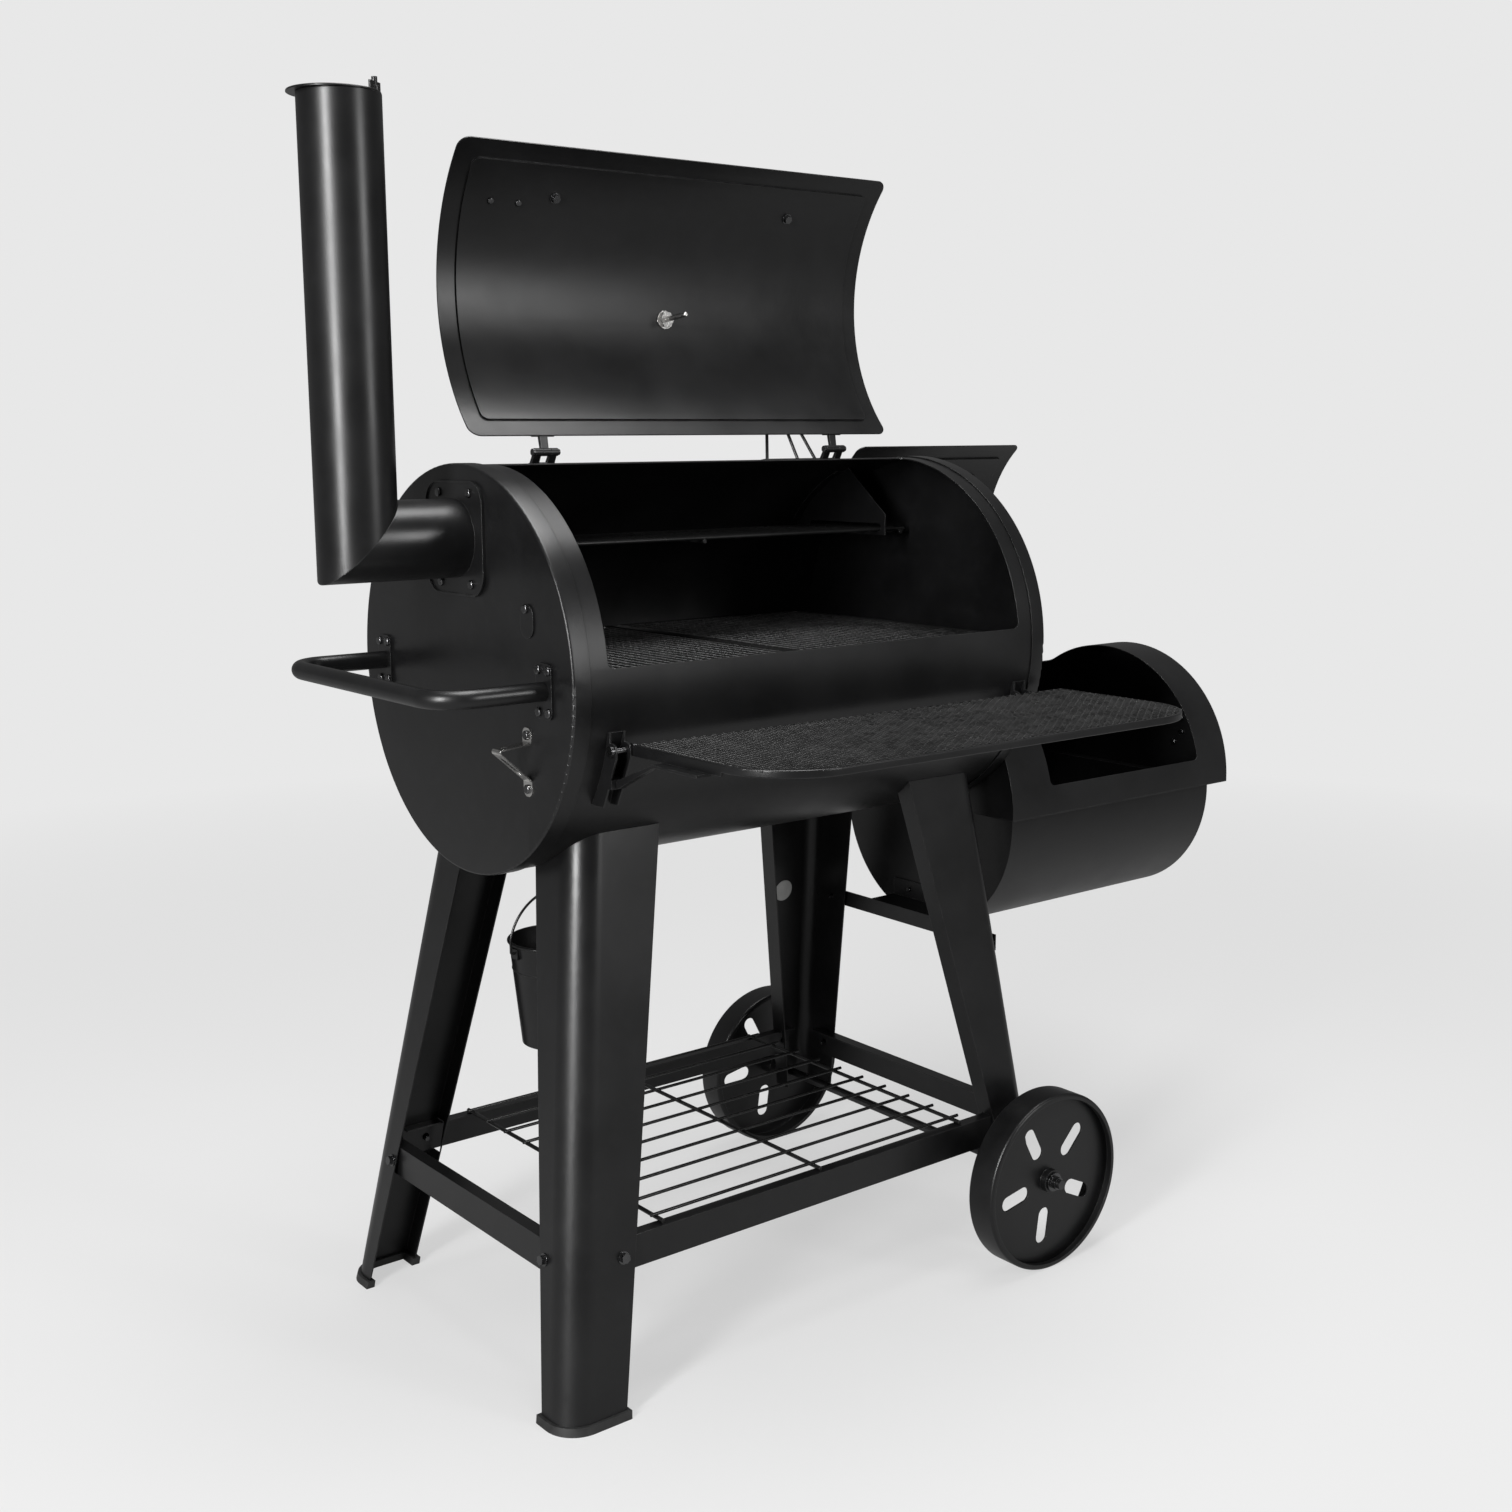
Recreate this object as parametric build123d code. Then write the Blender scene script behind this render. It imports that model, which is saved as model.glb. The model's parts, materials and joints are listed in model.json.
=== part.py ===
from build123d import *
from math import cos, degrees, hypot, radians, sin
import os

# Offset smoker, in millimetres, +Z up, standing on Z = 0.
# While it is built, X = 0 is the outer face of the drum's left cap and Y = 0 is the drum's axis plane,
# with the front towards -Y and the firebox towards +X. Each piece is moved to the final frame, whose
# origin is the bottom centre of the whole object's box, when it is written.
# Angles about the drum and the firebox start at the front (-Y) and rise over the top (+Z = 90 degrees).

# ---- driving dimensions ----
SHEET = 1.5                 # folded and rolled steel sheet
DRUM_R = 226.3              # outer radius of the drum's shell
DRUM_LENGTH = 695.2
DRUM_Z = 794.7
CAP_R = 228.0
CAP_RIM = 22.0
OPENING_MARGIN = 44.6       # from each end of the drum to its opening
OPENING_FRONT, OPENING_REAR = 5.4, 87.5

LID_MARGIN = 36.6           # from each end of the drum to the main lid
LID_FRONT, LID_REAR = 3.0, 91.6
LID_LIFT = 0.9              # gap between the shell and the lid's border
LID_BORDER = 23.0
LID_OPEN = 133.4            # degrees from closed to leaning on its wire rest
HINGE_Y, HINGE_Z = 22.0, 1033.0
HINGE_OFFSET = 217.0        # main hinges each side of the drum's middle

FLUE_R = 43.0
FLUE_Z = 942.0
CHIMNEY_X = -118.0
CHIMNEY_TOP = 1392.0
CHIMNEY_CAP_R = 47.5
CHIMNEY_BOLT = (-88.0, -20.0)
CHIMNEY_BOLT_TOP = 1409.0

FIRE_R = 181.0              # outer radius of the firebox hood
FIRE_Z = 562.0
FIRE_X0, FIRE_X1 = 695.7, 1136.0
TROUGH_R = 160.6
TROUGH_Z = 545.8
TROUGH_X0, TROUGH_X1 = 716.0, 1119.0
HOOD_BOTTOM = 560.0
FIRE_OPEN_X0, FIRE_OPEN_X1 = 769.0, 1073.0
FIRE_OPEN_FRONT, FIRE_OPEN_REAR = 11.0, 124.0
FIRE_LID_X0, FIRE_LID_X1 = 757.0, 1085.0
FIRE_LID_FRONT, FIRE_LID_REAR = 4.0, 126.0
FIRE_LID_BORDER = 20.0
FIRE_LID_OPEN = 125.0
FIRE_HINGE_ANGLE, FIRE_HINGE_R = 130.0, 190.0
DAMPER_Z = 475.0

SHELF_X0, SHELF_X1 = 66.0, 716.0
SHELF_BACK, SHELF_FRONT = -238.0, -471.0
SHELF_Z = 737.0             # top of the front shelf
SHELF_BAR = 12.0            # depth of the side bars that reach the pivots
SHELF_RIM = 8.5             # height of the bar bent round the shelf
SHELF_CORNER = 85.0
SHELF_PIVOT = (-229.0, 731.0)
BRACKET_X = (45.0, 645.0)
BRACKET_WIDTH = 20.0

LEG_SHEET = 1.8
LEG_TOP = 684.0
FOOT_HEIGHT = 9.0
RAIL_Z0, RAIL_Z1 = 152.0, 190.0
RAIL_FLANGE = 15.0
WHEEL_R = 115.0
WHEEL_X = 663.0
WHEEL_FACE = 297.5          # outer faces of the wheels, each side of Y = 0
WHEEL_WIDTH = 40.6
AXLE_R = 6.0
AXLE_END = 309.0

BUCKET_X = 118.0
BUCKET_RIM_Z, BUCKET_BOTTOM_Z = 470.0, 345.0
BUCKET_RIM_R, BUCKET_BASE_R = 60.0, 45.0
BAIL_TOP = 530.0
EAR_Z = 461.0

MIDDLE = DRUM_LENGTH / 2
GAP = 0.3                   # between curved faces that would otherwise touch


# ---- shared shapes ----
def polar(radius, angle, centre_z):
    """The (y, z) point at an angle about an X-parallel axis on Y = 0."""
    return (-radius * cos(radians(angle)), centre_z + radius * sin(radians(angle)))


def arc_strip(r_in, r_out, a0, a1, centre_z, x0, x1):
    """A rolled strip: part of a tube about an X-parallel axis."""
    middle = (a0 + a1) / 2
    outer = [(x0, *polar(r_out, a, centre_z)) for a in (a0, middle, a1)]
    inner = [(x0, *polar(r_in, a, centre_z)) for a in (a0, middle, a1)]
    outline = Wire([ThreePointArc(*outer), Line(outer[2], inner[2]), ThreePointArc(*inner),
                    Line(inner[0], outer[0])])
    return extrude(Face(outline), amount=x1 - x0, dir=(1, 0, 0))


def rounded_strip(r_in, r_out, a0, a1, centre_z, x0, x1, corner):
    strip = arc_strip(r_in, r_out, a0, a1, centre_z, x0, x1)
    corners = [e for e in strip.edges() if abs(e.length - (r_out - r_in)) < 0.01]
    return fillet(corners, corner)


def cylinder_x(radius, x0, x1, y, z):
    return Pos((x0 + x1) / 2, y, z) * Rot(0, 90, 0) * Cylinder(radius, x1 - x0)


def cylinder_y(radius, y0, y1, x, z):
    return Pos(x, (y0 + y1) / 2, z) * Rot(90, 0, 0) * Cylinder(radius, y1 - y0)


def cylinder_z(radius, z0, z1, x, y):
    return Pos(x, y, (z0 + z1) / 2) * Cylinder(radius, z1 - z0)


def block(x0, x1, y0, y1, z0, z1):
    return Pos((x0 + x1) / 2, (y0 + y1) / 2, (z0 + z1) / 2) * Box(x1 - x0, y1 - y0, z1 - z0)


def rod(start, end, radius):
    direction = Vector(*end) - Vector(*start)
    return Plane(origin=start, z_dir=direction) * Cylinder(
        radius, direction.length, align=(Align.CENTER, Align.CENTER, Align.MIN))


def swept_rod(path, radius):
    return sweep(Plane(origin=path @ 0, z_dir=path % 0) * Circle(radius), path=path)


def bent_rod(points, bend, radius):
    return swept_rod(FilletPolyline(*points, radius=bend), radius)


def bent_tube(points, bend, radius, wall):
    path = FilletPolyline(*points, radius=bend)
    direction = Vector(*points[1]) - Vector(*points[0])
    section = Plane(origin=points[0], z_dir=direction) * (Circle(radius) - Circle(radius - wall))
    return sweep(section, path=path)


def polygon_plate(points, x0, x1):
    """A flat plate across X, from its (y, z) outline."""
    outline = Wire(Polyline(*[(x0, y, z) for y, z in points], close=True).edges())
    return extrude(Face(outline), amount=x1 - x0, dir=(1, 0, 0))


def surface_plane(radius, angle, centre_z, x):
    """A plane on a rolled surface, its Z pointing outwards."""
    outward = (0, -cos(radians(angle)), sin(radians(angle)))
    return Plane(origin=(x, *polar(radius, angle, centre_z)), x_dir=(1, 0, 0), z_dir=outward)


def pan_screw(place, head_r=5.0, head_h=3.0, shank_r=2.5, shank=6.0):
    """A pan-head screw: its head stands on the plane, its shank goes below."""
    head = Pos(0, 0, head_h / 2) * Cylinder(head_r, head_h)
    head = fillet(head.edges().sort_by(Axis.Z)[-1], head_h * 0.6)
    return place * (head + Pos(0, 0, -shank / 2) * Cylinder(shank_r, shank))


def hex_bolt(place, across=10.0, head_h=5.0, shank_r=3.0, shank=10.0, washer_r=7.2):
    """A hexagon-head bolt on a washer."""
    washer = Pos(0, 0, 0.6) * Cylinder(washer_r, 1.2)
    head = Pos(0, 0, 1.2) * extrude(RegularPolygon(across / 2, 6, major_radius=False), head_h)
    return place * (washer + head + Pos(0, 0, -shank / 2) * Cylinder(shank_r, shank))


def group(shapes):
    return Compound(children=[solid for shape in shapes for solid in shape.solids()])


def both_sides(shape):
    """The piece and its mirror image across Y = 0."""
    return group([shape, mirror(shape, about=Plane.XZ)])


def opened_main(shape):
    return shape.rotate(Axis((0, HINGE_Y, HINGE_Z), (1, 0, 0)), -LID_OPEN)


def opened_fire(shape):
    return shape.rotate(Axis((0, *FIRE_HINGE), (1, 0, 0)), -FIRE_LID_OPEN)


FIRE_HINGE = polar(FIRE_HINGE_R, FIRE_HINGE_ANGLE, FIRE_Z)
MAIN_HINGE_R = hypot(HINGE_Y, HINGE_Z - DRUM_Z)
MAIN_HINGE_ANGLE = 90 + degrees(HINGE_Y / MAIN_HINGE_R)
LID_INNER_R = DRUM_R + LID_LIFT
LID_OUTER_R = LID_INNER_R + SHEET
FIRE_LID_OUTER_R = FIRE_R + LID_LIFT + SHEET

def on_left_cap(y, z, lift=0.0):
    """A plane on the left cap's outer face, its Z pointing away from the drum."""
    return Plane(origin=(-lift, y, z), x_dir=(0, -1, 0), z_dir=(-1, 0, 0))


# ---- drum ----
HANDLE_Z = 792.0
HANDLE_Y = 176.0
HANDLE_X = -123.0
HANDLE_R = 10.2
HANDLE_FLANGE = (30.0, 59.0, 3.0)
FLUE_FLANGE = 124.0
FLUE_FLANGE_SHEET = 2.0
PROBE_Y, PROBE_Z = -144.0, 862.0
PROBE_PIVOT_Z = 875.0
PROBE_COVER_SHEET = 1.5
OPENER_Y = -138.0
OPENER_TABS = (741.5, 683.5)
OPENER_SHEET = 1.6
DRAIN_HOLE_R = 9.3
PORT = (180.0, 70.0, 655.0)  # firebox port: width, height, centre height

cap_screw_places = (
    [on_left_cap(side * HANDLE_Y + dy, HANDLE_Z + dz, HANDLE_FLANGE[2])
     for side in (-1, 1) for dy in (-9.5, 9.5) for dz in (-22.0, 22.0)]
    + [on_left_cap(dy, FLUE_Z + dz, FLUE_FLANGE_SHEET) for dy in (-33.0, 33.0) for dz in (-49.0, 49.0)]
    + [on_left_cap(OPENER_Y, z, OPENER_SHEET) for z in OPENER_TABS]
    + [on_left_cap(PROBE_Y + 1, PROBE_PIVOT_Z, PROBE_COVER_SHEET + 2 * GAP)]
)


def drum_shell():
    shell = cylinder_x(DRUM_R, 2 * SHEET, DRUM_LENGTH - 2 * SHEET, 0, DRUM_Z)
    shell -= cylinder_x(DRUM_R - SHEET, 0, DRUM_LENGTH, 0, DRUM_Z)
    shell -= rounded_strip(DRUM_R - 6, DRUM_R + 6, OPENING_FRONT, OPENING_REAR, DRUM_Z,
                           OPENING_MARGIN, DRUM_LENGTH - OPENING_MARGIN, 8)
    return shell - cylinder_z(DRAIN_HOLE_R, DRUM_Z - DRUM_R - 5, DRUM_Z - DRUM_R + 10, BUCKET_X, 0)


def cap_blank():
    """A pressed end cap with its rim towards +X."""
    cap = cylinder_x(CAP_R, 0, CAP_RIM, 0, DRUM_Z)
    cap = fillet(cap.edges().sort_by(Axis.X)[0], 3.0)
    hollow = cylinder_x(CAP_R - SHEET, SHEET, CAP_RIM + 1, 0, DRUM_Z)
    return cap - fillet(hollow.edges().sort_by(Axis.X)[0], 1.2)


def firebox_port(x0, x1):
    width, height, centre = PORT
    slot = Plane(origin=(x0, 0, centre), x_dir=(0, 1, 0), z_dir=(1, 0, 0)) * SlotOverall(width, height)
    return extrude(slot, amount=x1 - x0, dir=(1, 0, 0))


def drum_cap_left():
    cap = cap_blank() - cylinder_x(FLUE_R + GAP, -1, 5, 0, FLUE_Z)
    cap -= cylinder_x(8.0, -1, 5, PROBE_Y, PROBE_Z - 5)
    for place in cap_screw_places:
        cap -= place * Cylinder(2.6, 30)
    return cap


def drum_cap_right():
    cap = cap_blank().mirror(Plane.YZ).moved(Location((DRUM_LENGTH, 0, 0)))
    return cap - firebox_port(DRUM_LENGTH - 5, DRUM_LENGTH + 1)


GRATE_Z = 800.0
LEDGE_X = (30.0, DRUM_LENGTH - 30.0)
LEDGE_Y = (209.0, 224.0)
GRATE_HALF_WIDTH = 217.0
GRATE_ROD_R = 3.0
GRATE_SHEET = 1.5


def grate_ledges():
    x0, x1 = LEDGE_X
    y0, y1 = LEDGE_Y
    ledge = block(x0, x1, y0, y1, GRATE_Z - SHEET, GRATE_Z)
    return both_sides(ledge + block(x0, x1, y1 - SHEET, y1, GRATE_Z - 18, GRATE_Z))


def cooking_grate(x0, x1):
    """An expanded sheet welded to a rod frame."""
    r = GRATE_ROD_R
    plan = RectangleRounded(x1 - x0 - 2 * r, 2 * (GRATE_HALF_WIDTH - r), 12)
    frame = swept_rod((Pos((x0 + x1) / 2, 0, GRATE_Z + r) * plan).wire(), r)
    return frame + extrude(Pos((x0 + x1) / 2, 0, GRATE_Z + r - GRATE_SHEET / 2) * plan, GRATE_SHEET)


def cooking_grates():
    x0, x1 = LEDGE_X
    return group([cooking_grate(x0 + 2, MIDDLE - 1), cooking_grate(MIDDLE + 1, x1 - 2)])


RACK_X = (16.0, DRUM_LENGTH - 16.0)
RACK_BRACKET_X = (60.0, DRUM_LENGTH - 60.0)
RACK_SLOT = (8.0, 152.0, 925.5, 936.0)
RACK_ROD_R = 2.5
RACK_RODS = 7


def warming_rack():
    y0, y1 = RACK_SLOT[0] + 6, RACK_SLOT[1] - 6
    z = RACK_SLOT[2] + RACK_ROD_R
    x0, x1 = RACK_X
    rods = [rod((x0, y0 + i * (y1 - y0) / (RACK_RODS - 1), z),
                (x1, y0 + i * (y1 - y0) / (RACK_RODS - 1), z), RACK_ROD_R) for i in range(RACK_RODS)]
    for x in (x0 + 6, MIDDLE, x1 - 6):
        rods.append(rod((x, y0 - 3, z - 4), (x, y1 + 3, z - 4), RACK_ROD_R))
    rack = rods[0]
    for piece in rods[1:]:
        rack += piece
    return rack


def rack_bracket(x):
    """A triangular hanger on the drum's rear wall, with a long slot for the rack's rods."""
    plate = polygon_plate([(0, 921), (0, 948), (79, 1012), (250, 1012), (250, 921)], x, x + SHEET)
    plate &= cylinder_x(DRUM_R - SHEET - GAP, x - 1, x + 3, 0, DRUM_Z)
    y0, y1, z0, z1 = RACK_SLOT
    slot = Plane(origin=(x - 1, (y0 + y1) / 2, (z0 + z1) / 2), x_dir=(0, 1, 0), z_dir=(1, 0, 0))
    plate -= extrude(slot * SlotOverall(y1 - y0, z1 - z0), amount=4, dir=(1, 0, 0))
    tab_start = 90 + degrees(79 / DRUM_R)
    tab = arc_strip(DRUM_R - 2 * SHEET - GAP, DRUM_R - SHEET - GAP, tab_start + 2, tab_start + 30, DRUM_Z,
                    x, x + 14)
    return plate + tab


def warming_rack_brackets():
    left, right = RACK_BRACKET_X
    return group([rack_bracket(left), mirror(rack_bracket(DRUM_LENGTH - right), about=Plane.YZ).moved(
        Location((DRUM_LENGTH, 0, 0)))])


# ---- hinges ----
KNUCKLE_R = 4.6
PIN_R = 2.5
LEAF = 2.0
HINGE_WIDTH = 30.4
LID_KNUCKLE = 10.2
KNUCKLE_GAP = 0.5


def hinge_plate(points, hinge_angle, centre_z, x0, x1):
    """A plate across X from (radius, arc length past the hinge) points."""
    scale = degrees(1 / points[0][0])
    return polygon_plate([polar(r, hinge_angle + s * scale, centre_z) for r, s in points], x0, x1)


def fixed_leaf(x, hinge_angle, hinge_r, shell_r, centre_z):
    """The leaf on the chamber: a curved foot, a riser and two outer knuckles."""
    y, z = polar(hinge_r, hinge_angle, centre_z)
    scale = degrees(1 / shell_r)
    half = HINGE_WIDTH / 2
    inner = LID_KNUCKLE / 2 + KNUCKLE_GAP
    foot_r = shell_r + GAP
    leaf = arc_strip(foot_r, foot_r + LEAF, hinge_angle + 7 * scale, hinge_angle + 34 * scale, centre_z,
                     x - half, x + half)
    for x0, x1 in ((x - half, x - inner), (x + inner, x + half)):
        leaf += cylinder_x(KNUCKLE_R, x0, x1, y, z)
        leaf += hinge_plate([(foot_r, 7.5), (foot_r, 14), (hinge_r - 1, 4.2), (hinge_r - 3, 1)],
                            hinge_angle, centre_z, x0, x1)
    leaf -= cylinder_x(PIN_R + 0.05, x - half - 1, x + half + 1, y, z)
    return leaf


def lid_leaf(x, hinge_angle, hinge_r, lid_r, lid_gap, centre_z):
    """The leaf on the lid, as it lies when the lid is closed; lid_gap is from the hinge to the lid's edge."""
    y, z = polar(hinge_r, hinge_angle, centre_z)
    scale = degrees(1 / lid_r)
    half = HINGE_WIDTH / 2
    foot_r = lid_r + GAP
    leaf = arc_strip(foot_r, foot_r + LEAF, hinge_angle - (lid_gap + 28) * scale,
                     hinge_angle - (lid_gap + 1) * scale, centre_z, x - half, x + half)
    x0, x1 = x - LID_KNUCKLE / 2, x + LID_KNUCKLE / 2
    leaf += hinge_plate([(foot_r, -lid_gap - 6), (foot_r + LEAF, -lid_gap - 6), (hinge_r + 3.4, -2.5),
                         (hinge_r - 1, -3), (foot_r, -lid_gap)], hinge_angle, centre_z, x0, x1)
    leaf += cylinder_x(KNUCKLE_R, x0, x1, y, z)
    return leaf - cylinder_x(PIN_R + 0.08, x0 - 1, x1 + 1, y, z)


def hinge_pin(x, y, z):
    half = HINGE_WIDTH / 2 + 0.4
    pin = cylinder_x(PIN_R, x - half - 2, x + half + 2, y, z)
    return pin + cylinder_x(PIN_R + 1.6, x - half - 2.5, x - half, y, z) + cylinder_x(
        PIN_R + 1.0, x + half, x + half + 2, y, z)


MAIN_HINGES = (MIDDLE - HINGE_OFFSET, MIDDLE + HINGE_OFFSET)
FIRE_HINGES = (FIRE_LID_X0 + 64, FIRE_LID_X1 - 64)
MAIN_LID_GAP = radians(MAIN_HINGE_ANGLE - LID_REAR) * LID_OUTER_R
FIRE_LID_GAP = radians(FIRE_HINGE_ANGLE - FIRE_LID_REAR) * FIRE_LID_OUTER_R


def hinge_fixed_leaves():
    main = [fixed_leaf(x, MAIN_HINGE_ANGLE, MAIN_HINGE_R, DRUM_R, DRUM_Z) for x in MAIN_HINGES]
    fire = [fixed_leaf(x, FIRE_HINGE_ANGLE, FIRE_HINGE_R, FIRE_R, FIRE_Z) for x in FIRE_HINGES]
    return group(main + fire)


def hinge_pins():
    main = [hinge_pin(x, *polar(MAIN_HINGE_R, MAIN_HINGE_ANGLE, DRUM_Z)) for x in MAIN_HINGES]
    fire = [hinge_pin(x, *FIRE_HINGE) for x in FIRE_HINGES]
    return group(main + fire)


def main_lid_hinge_leaves():
    leaves = [lid_leaf(x, MAIN_HINGE_ANGLE, MAIN_HINGE_R, LID_OUTER_R, MAIN_LID_GAP, DRUM_Z)
              for x in MAIN_HINGES]
    return opened_main(group(leaves))


def firebox_lid_hinge_leaves():
    leaves = [lid_leaf(x, FIRE_HINGE_ANGLE, FIRE_HINGE_R, FIRE_LID_OUTER_R, FIRE_LID_GAP, FIRE_Z)
              for x in FIRE_HINGES]
    return opened_fire(group(leaves))


# ---- lid rest ----
REST_FOOT_Y, REST_TOP_Y, REST_TOP_Z = 32.0, 65.6, 1098.0
REST_FEET = (462.0, 512.0, 541.0)
REST_TOP = (488.0, 500.0, 512.0)
REST_WIRE_R = 2.0


def lid_rest_wires():
    """A fan of three wires on a strip behind the opening, which the open lid leans on."""
    foot_r = DRUM_R + GAP
    start = 90 + degrees(REST_FOOT_Y / foot_r)
    rest = arc_strip(foot_r, foot_r + LEAF, start - 1.2, start + 2.6, DRUM_Z, REST_FEET[0] - 7,
                     REST_FEET[2] + 4)
    foot_z = polar(foot_r + 1, start, DRUM_Z)[1]
    for foot, top in zip(REST_FEET, REST_TOP):
        rest += rod((foot, REST_FOOT_Y, foot_z), (top, REST_TOP_Y, REST_TOP_Z), REST_WIRE_R)
    return rest + rod((REST_TOP[0] - 4, REST_TOP_Y, REST_TOP_Z), (REST_TOP[2] + 4, REST_TOP_Y, REST_TOP_Z),
                      REST_WIRE_R)


# ---- things on the left cap ----
def side_handle():
    x0 = -HANDLE_FLANGE[2]
    return bent_tube([(x0, -HANDLE_Y, HANDLE_Z), (HANDLE_X, -HANDLE_Y, HANDLE_Z),
                      (HANDLE_X, HANDLE_Y, HANDLE_Z), (x0, HANDLE_Y, HANDLE_Z)], 40, HANDLE_R, 1.8)


def side_handle_flanges():
    width, height, thick = HANDLE_FLANGE
    plate = extrude(on_left_cap(-HANDLE_Y, HANDLE_Z) * RectangleRounded(width, height, 8), thick)
    for place in cap_screw_places[:4]:
        plate -= place * Cylinder(2.6, 30)
    return both_sides(plate)


def cap_screws():
    return group([pan_screw(place, shank=9.0) for place in cap_screw_places])


def probe_cover():
    sheet = PROBE_COVER_SHEET
    cover = extrude(on_left_cap(PROBE_Y, PROBE_Z, GAP) * SlotOverall(36, 25, rotation=90), sheet)
    return cover - on_left_cap(PROBE_Y + 1, PROBE_PIVOT_Z) * Cylinder(2.6, 20)


def bottle_opener():
    """A bent strip: two tabs on the cap, a short upper leg and a slotted lower leg."""
    t, width = OPENER_SHEET, 17.0
    centre = t / 2
    tip = (-42.0, 729.0)
    path = FilletPolyline((-centre, OPENER_Y, OPENER_TABS[0] + 8), (-centre, OPENER_Y, OPENER_TABS[0] - 9),
                          (tip[0], OPENER_Y, tip[1]), (-centre, OPENER_Y, OPENER_TABS[1] + 9),
                          (-centre, OPENER_Y, OPENER_TABS[1] - 8), radius=2.5)
    section = Plane(origin=path @ 0, x_dir=(0, 1, 0), z_dir=(0, 0, -1)) * Rectangle(width, t)
    strip = sweep(section, path=path)
    slot = Pos(-21, OPENER_Y, 711) * Box(24, 8, 40)
    strip -= fillet(slot.edges().filter_by(Axis.Z), 3.9)
    ends = Pos(0, OPENER_Y, sum(OPENER_TABS) / 2) * Box(8, width, OPENER_TABS[0] - OPENER_TABS[1] + width)
    ends = fillet(ends.edges().filter_by(Axis.X), width / 2 - 0.1)
    strip &= ends + block(-60, -3.8, OPENER_Y - width, OPENER_Y + width, 660, 765)
    for z in OPENER_TABS:
        strip -= on_left_cap(OPENER_Y, z) * Cylinder(2.6, 20)
    return strip


MITRE = Plane(origin=(CHIMNEY_X, 0, FLUE_Z), x_dir=(0, 1, 0), z_dir=(1, 0, -1))


def flue_elbow():
    """The horizontal half of the mitred elbow, with its square flange."""
    t = FLUE_FLANGE_SHEET
    plate = extrude(on_left_cap(0, FLUE_Z) * RectangleRounded(FLUE_FLANGE, FLUE_FLANGE, 26), t)
    lip = extrude(on_left_cap(0, FLUE_Z) * (RectangleRounded(FLUE_FLANGE, FLUE_FLANGE, 26)
                  - RectangleRounded(FLUE_FLANGE - 4, FLUE_FLANGE - 4, 24)), t + 2)
    plate += lip
    plate -= cylinder_x(FLUE_R - 0.5, -20, 20, 0, FLUE_Z)
    for place in cap_screw_places[8:12]:
        plate -= place * Cylinder(2.6, 30)
    pipe = split(cylinder_x(FLUE_R, CHIMNEY_X - 60, 6, 0, FLUE_Z), bisect_by=MITRE, keep=Keep.TOP)
    bore = cylinder_x(FLUE_R - SHEET, CHIMNEY_X - 60, 8, 0, FLUE_Z)
    return (pipe + plate) - bore


def chimney_pipe():
    pipe = split(cylinder_z(FLUE_R, FLUE_Z - 60, CHIMNEY_TOP, CHIMNEY_X, 0), bisect_by=MITRE,
                 keep=Keep.BOTTOM)
    return pipe - cylinder_z(FLUE_R - SHEET, FLUE_Z - 70, CHIMNEY_TOP + 5, CHIMNEY_X, 0)


CHIMNEY_CAP_CENTRE = (CHIMNEY_X - 4, 3)
CHIMNEY_CAP_Z = CHIMNEY_TOP + 0.4
CHIMNEY_BOLT_R = 3.0


def chimney_cap():
    x, y = CHIMNEY_CAP_CENTRE
    cap = cylinder_z(CHIMNEY_CAP_R, CHIMNEY_CAP_Z, CHIMNEY_CAP_Z + 2, x, y)
    cap = fillet(cap.edges().sort_by(Axis.Z)[-1], 1.2)
    return cap - cylinder_z(CHIMNEY_BOLT_R + 0.1, CHIMNEY_CAP_Z - 5, CHIMNEY_CAP_Z + 5, *CHIMNEY_BOLT)


def chimney_pivot():
    """A lug welded inside the pipe, with the upright bolt and wing nut that hold the cap."""
    x, y = CHIMNEY_BOLT
    reach = hypot(x - CHIMNEY_X, y)
    lug_plane = Plane(origin=(CHIMNEY_X, 0, CHIMNEY_TOP - 14), x_dir=(x - CHIMNEY_X, y, 0), z_dir=(0, 0, 1))
    lug = lug_plane * block(reach - 7, FLUE_R, -8, 8, 0, 3)
    lug &= cylinder_z(FLUE_R - SHEET - 0.05, 0, CHIMNEY_TOP, CHIMNEY_X, 0)
    bolt = cylinder_z(CHIMNEY_BOLT_R, CHIMNEY_TOP - 16, CHIMNEY_BOLT_TOP, x, y)
    nut_z = CHIMNEY_CAP_Z + 2.5
    nut = cylinder_z(5.5, nut_z, nut_z + 5, x, y)
    wing = Pos(x, y, nut_z + 5) * Rot(0, 0, 35) * Box(22, 2.4, 9)
    wing = fillet(wing.edges().filter_by(Axis.Z), 0.8)
    return lug + bolt + nut + wing


# ---- main lid ----
LID_X0, LID_X1 = LID_MARGIN, DRUM_LENGTH - LID_MARGIN
LID_HANDLE_ANGLE = 18.6
LID_HANDLE_X = (MIDDLE - 171.4, MIDDLE + 171.4)
LID_HANDLE_REACH = 48.0
DIAL_X, DIAL_ANGLE = 346.0, 52.5
NAMEPLATE_X = (84.0, 140.0)
NAMEPLATE_ANGLES = (17.4, 24.6)
FIELD_R = DRUM_R - SHEET


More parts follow.
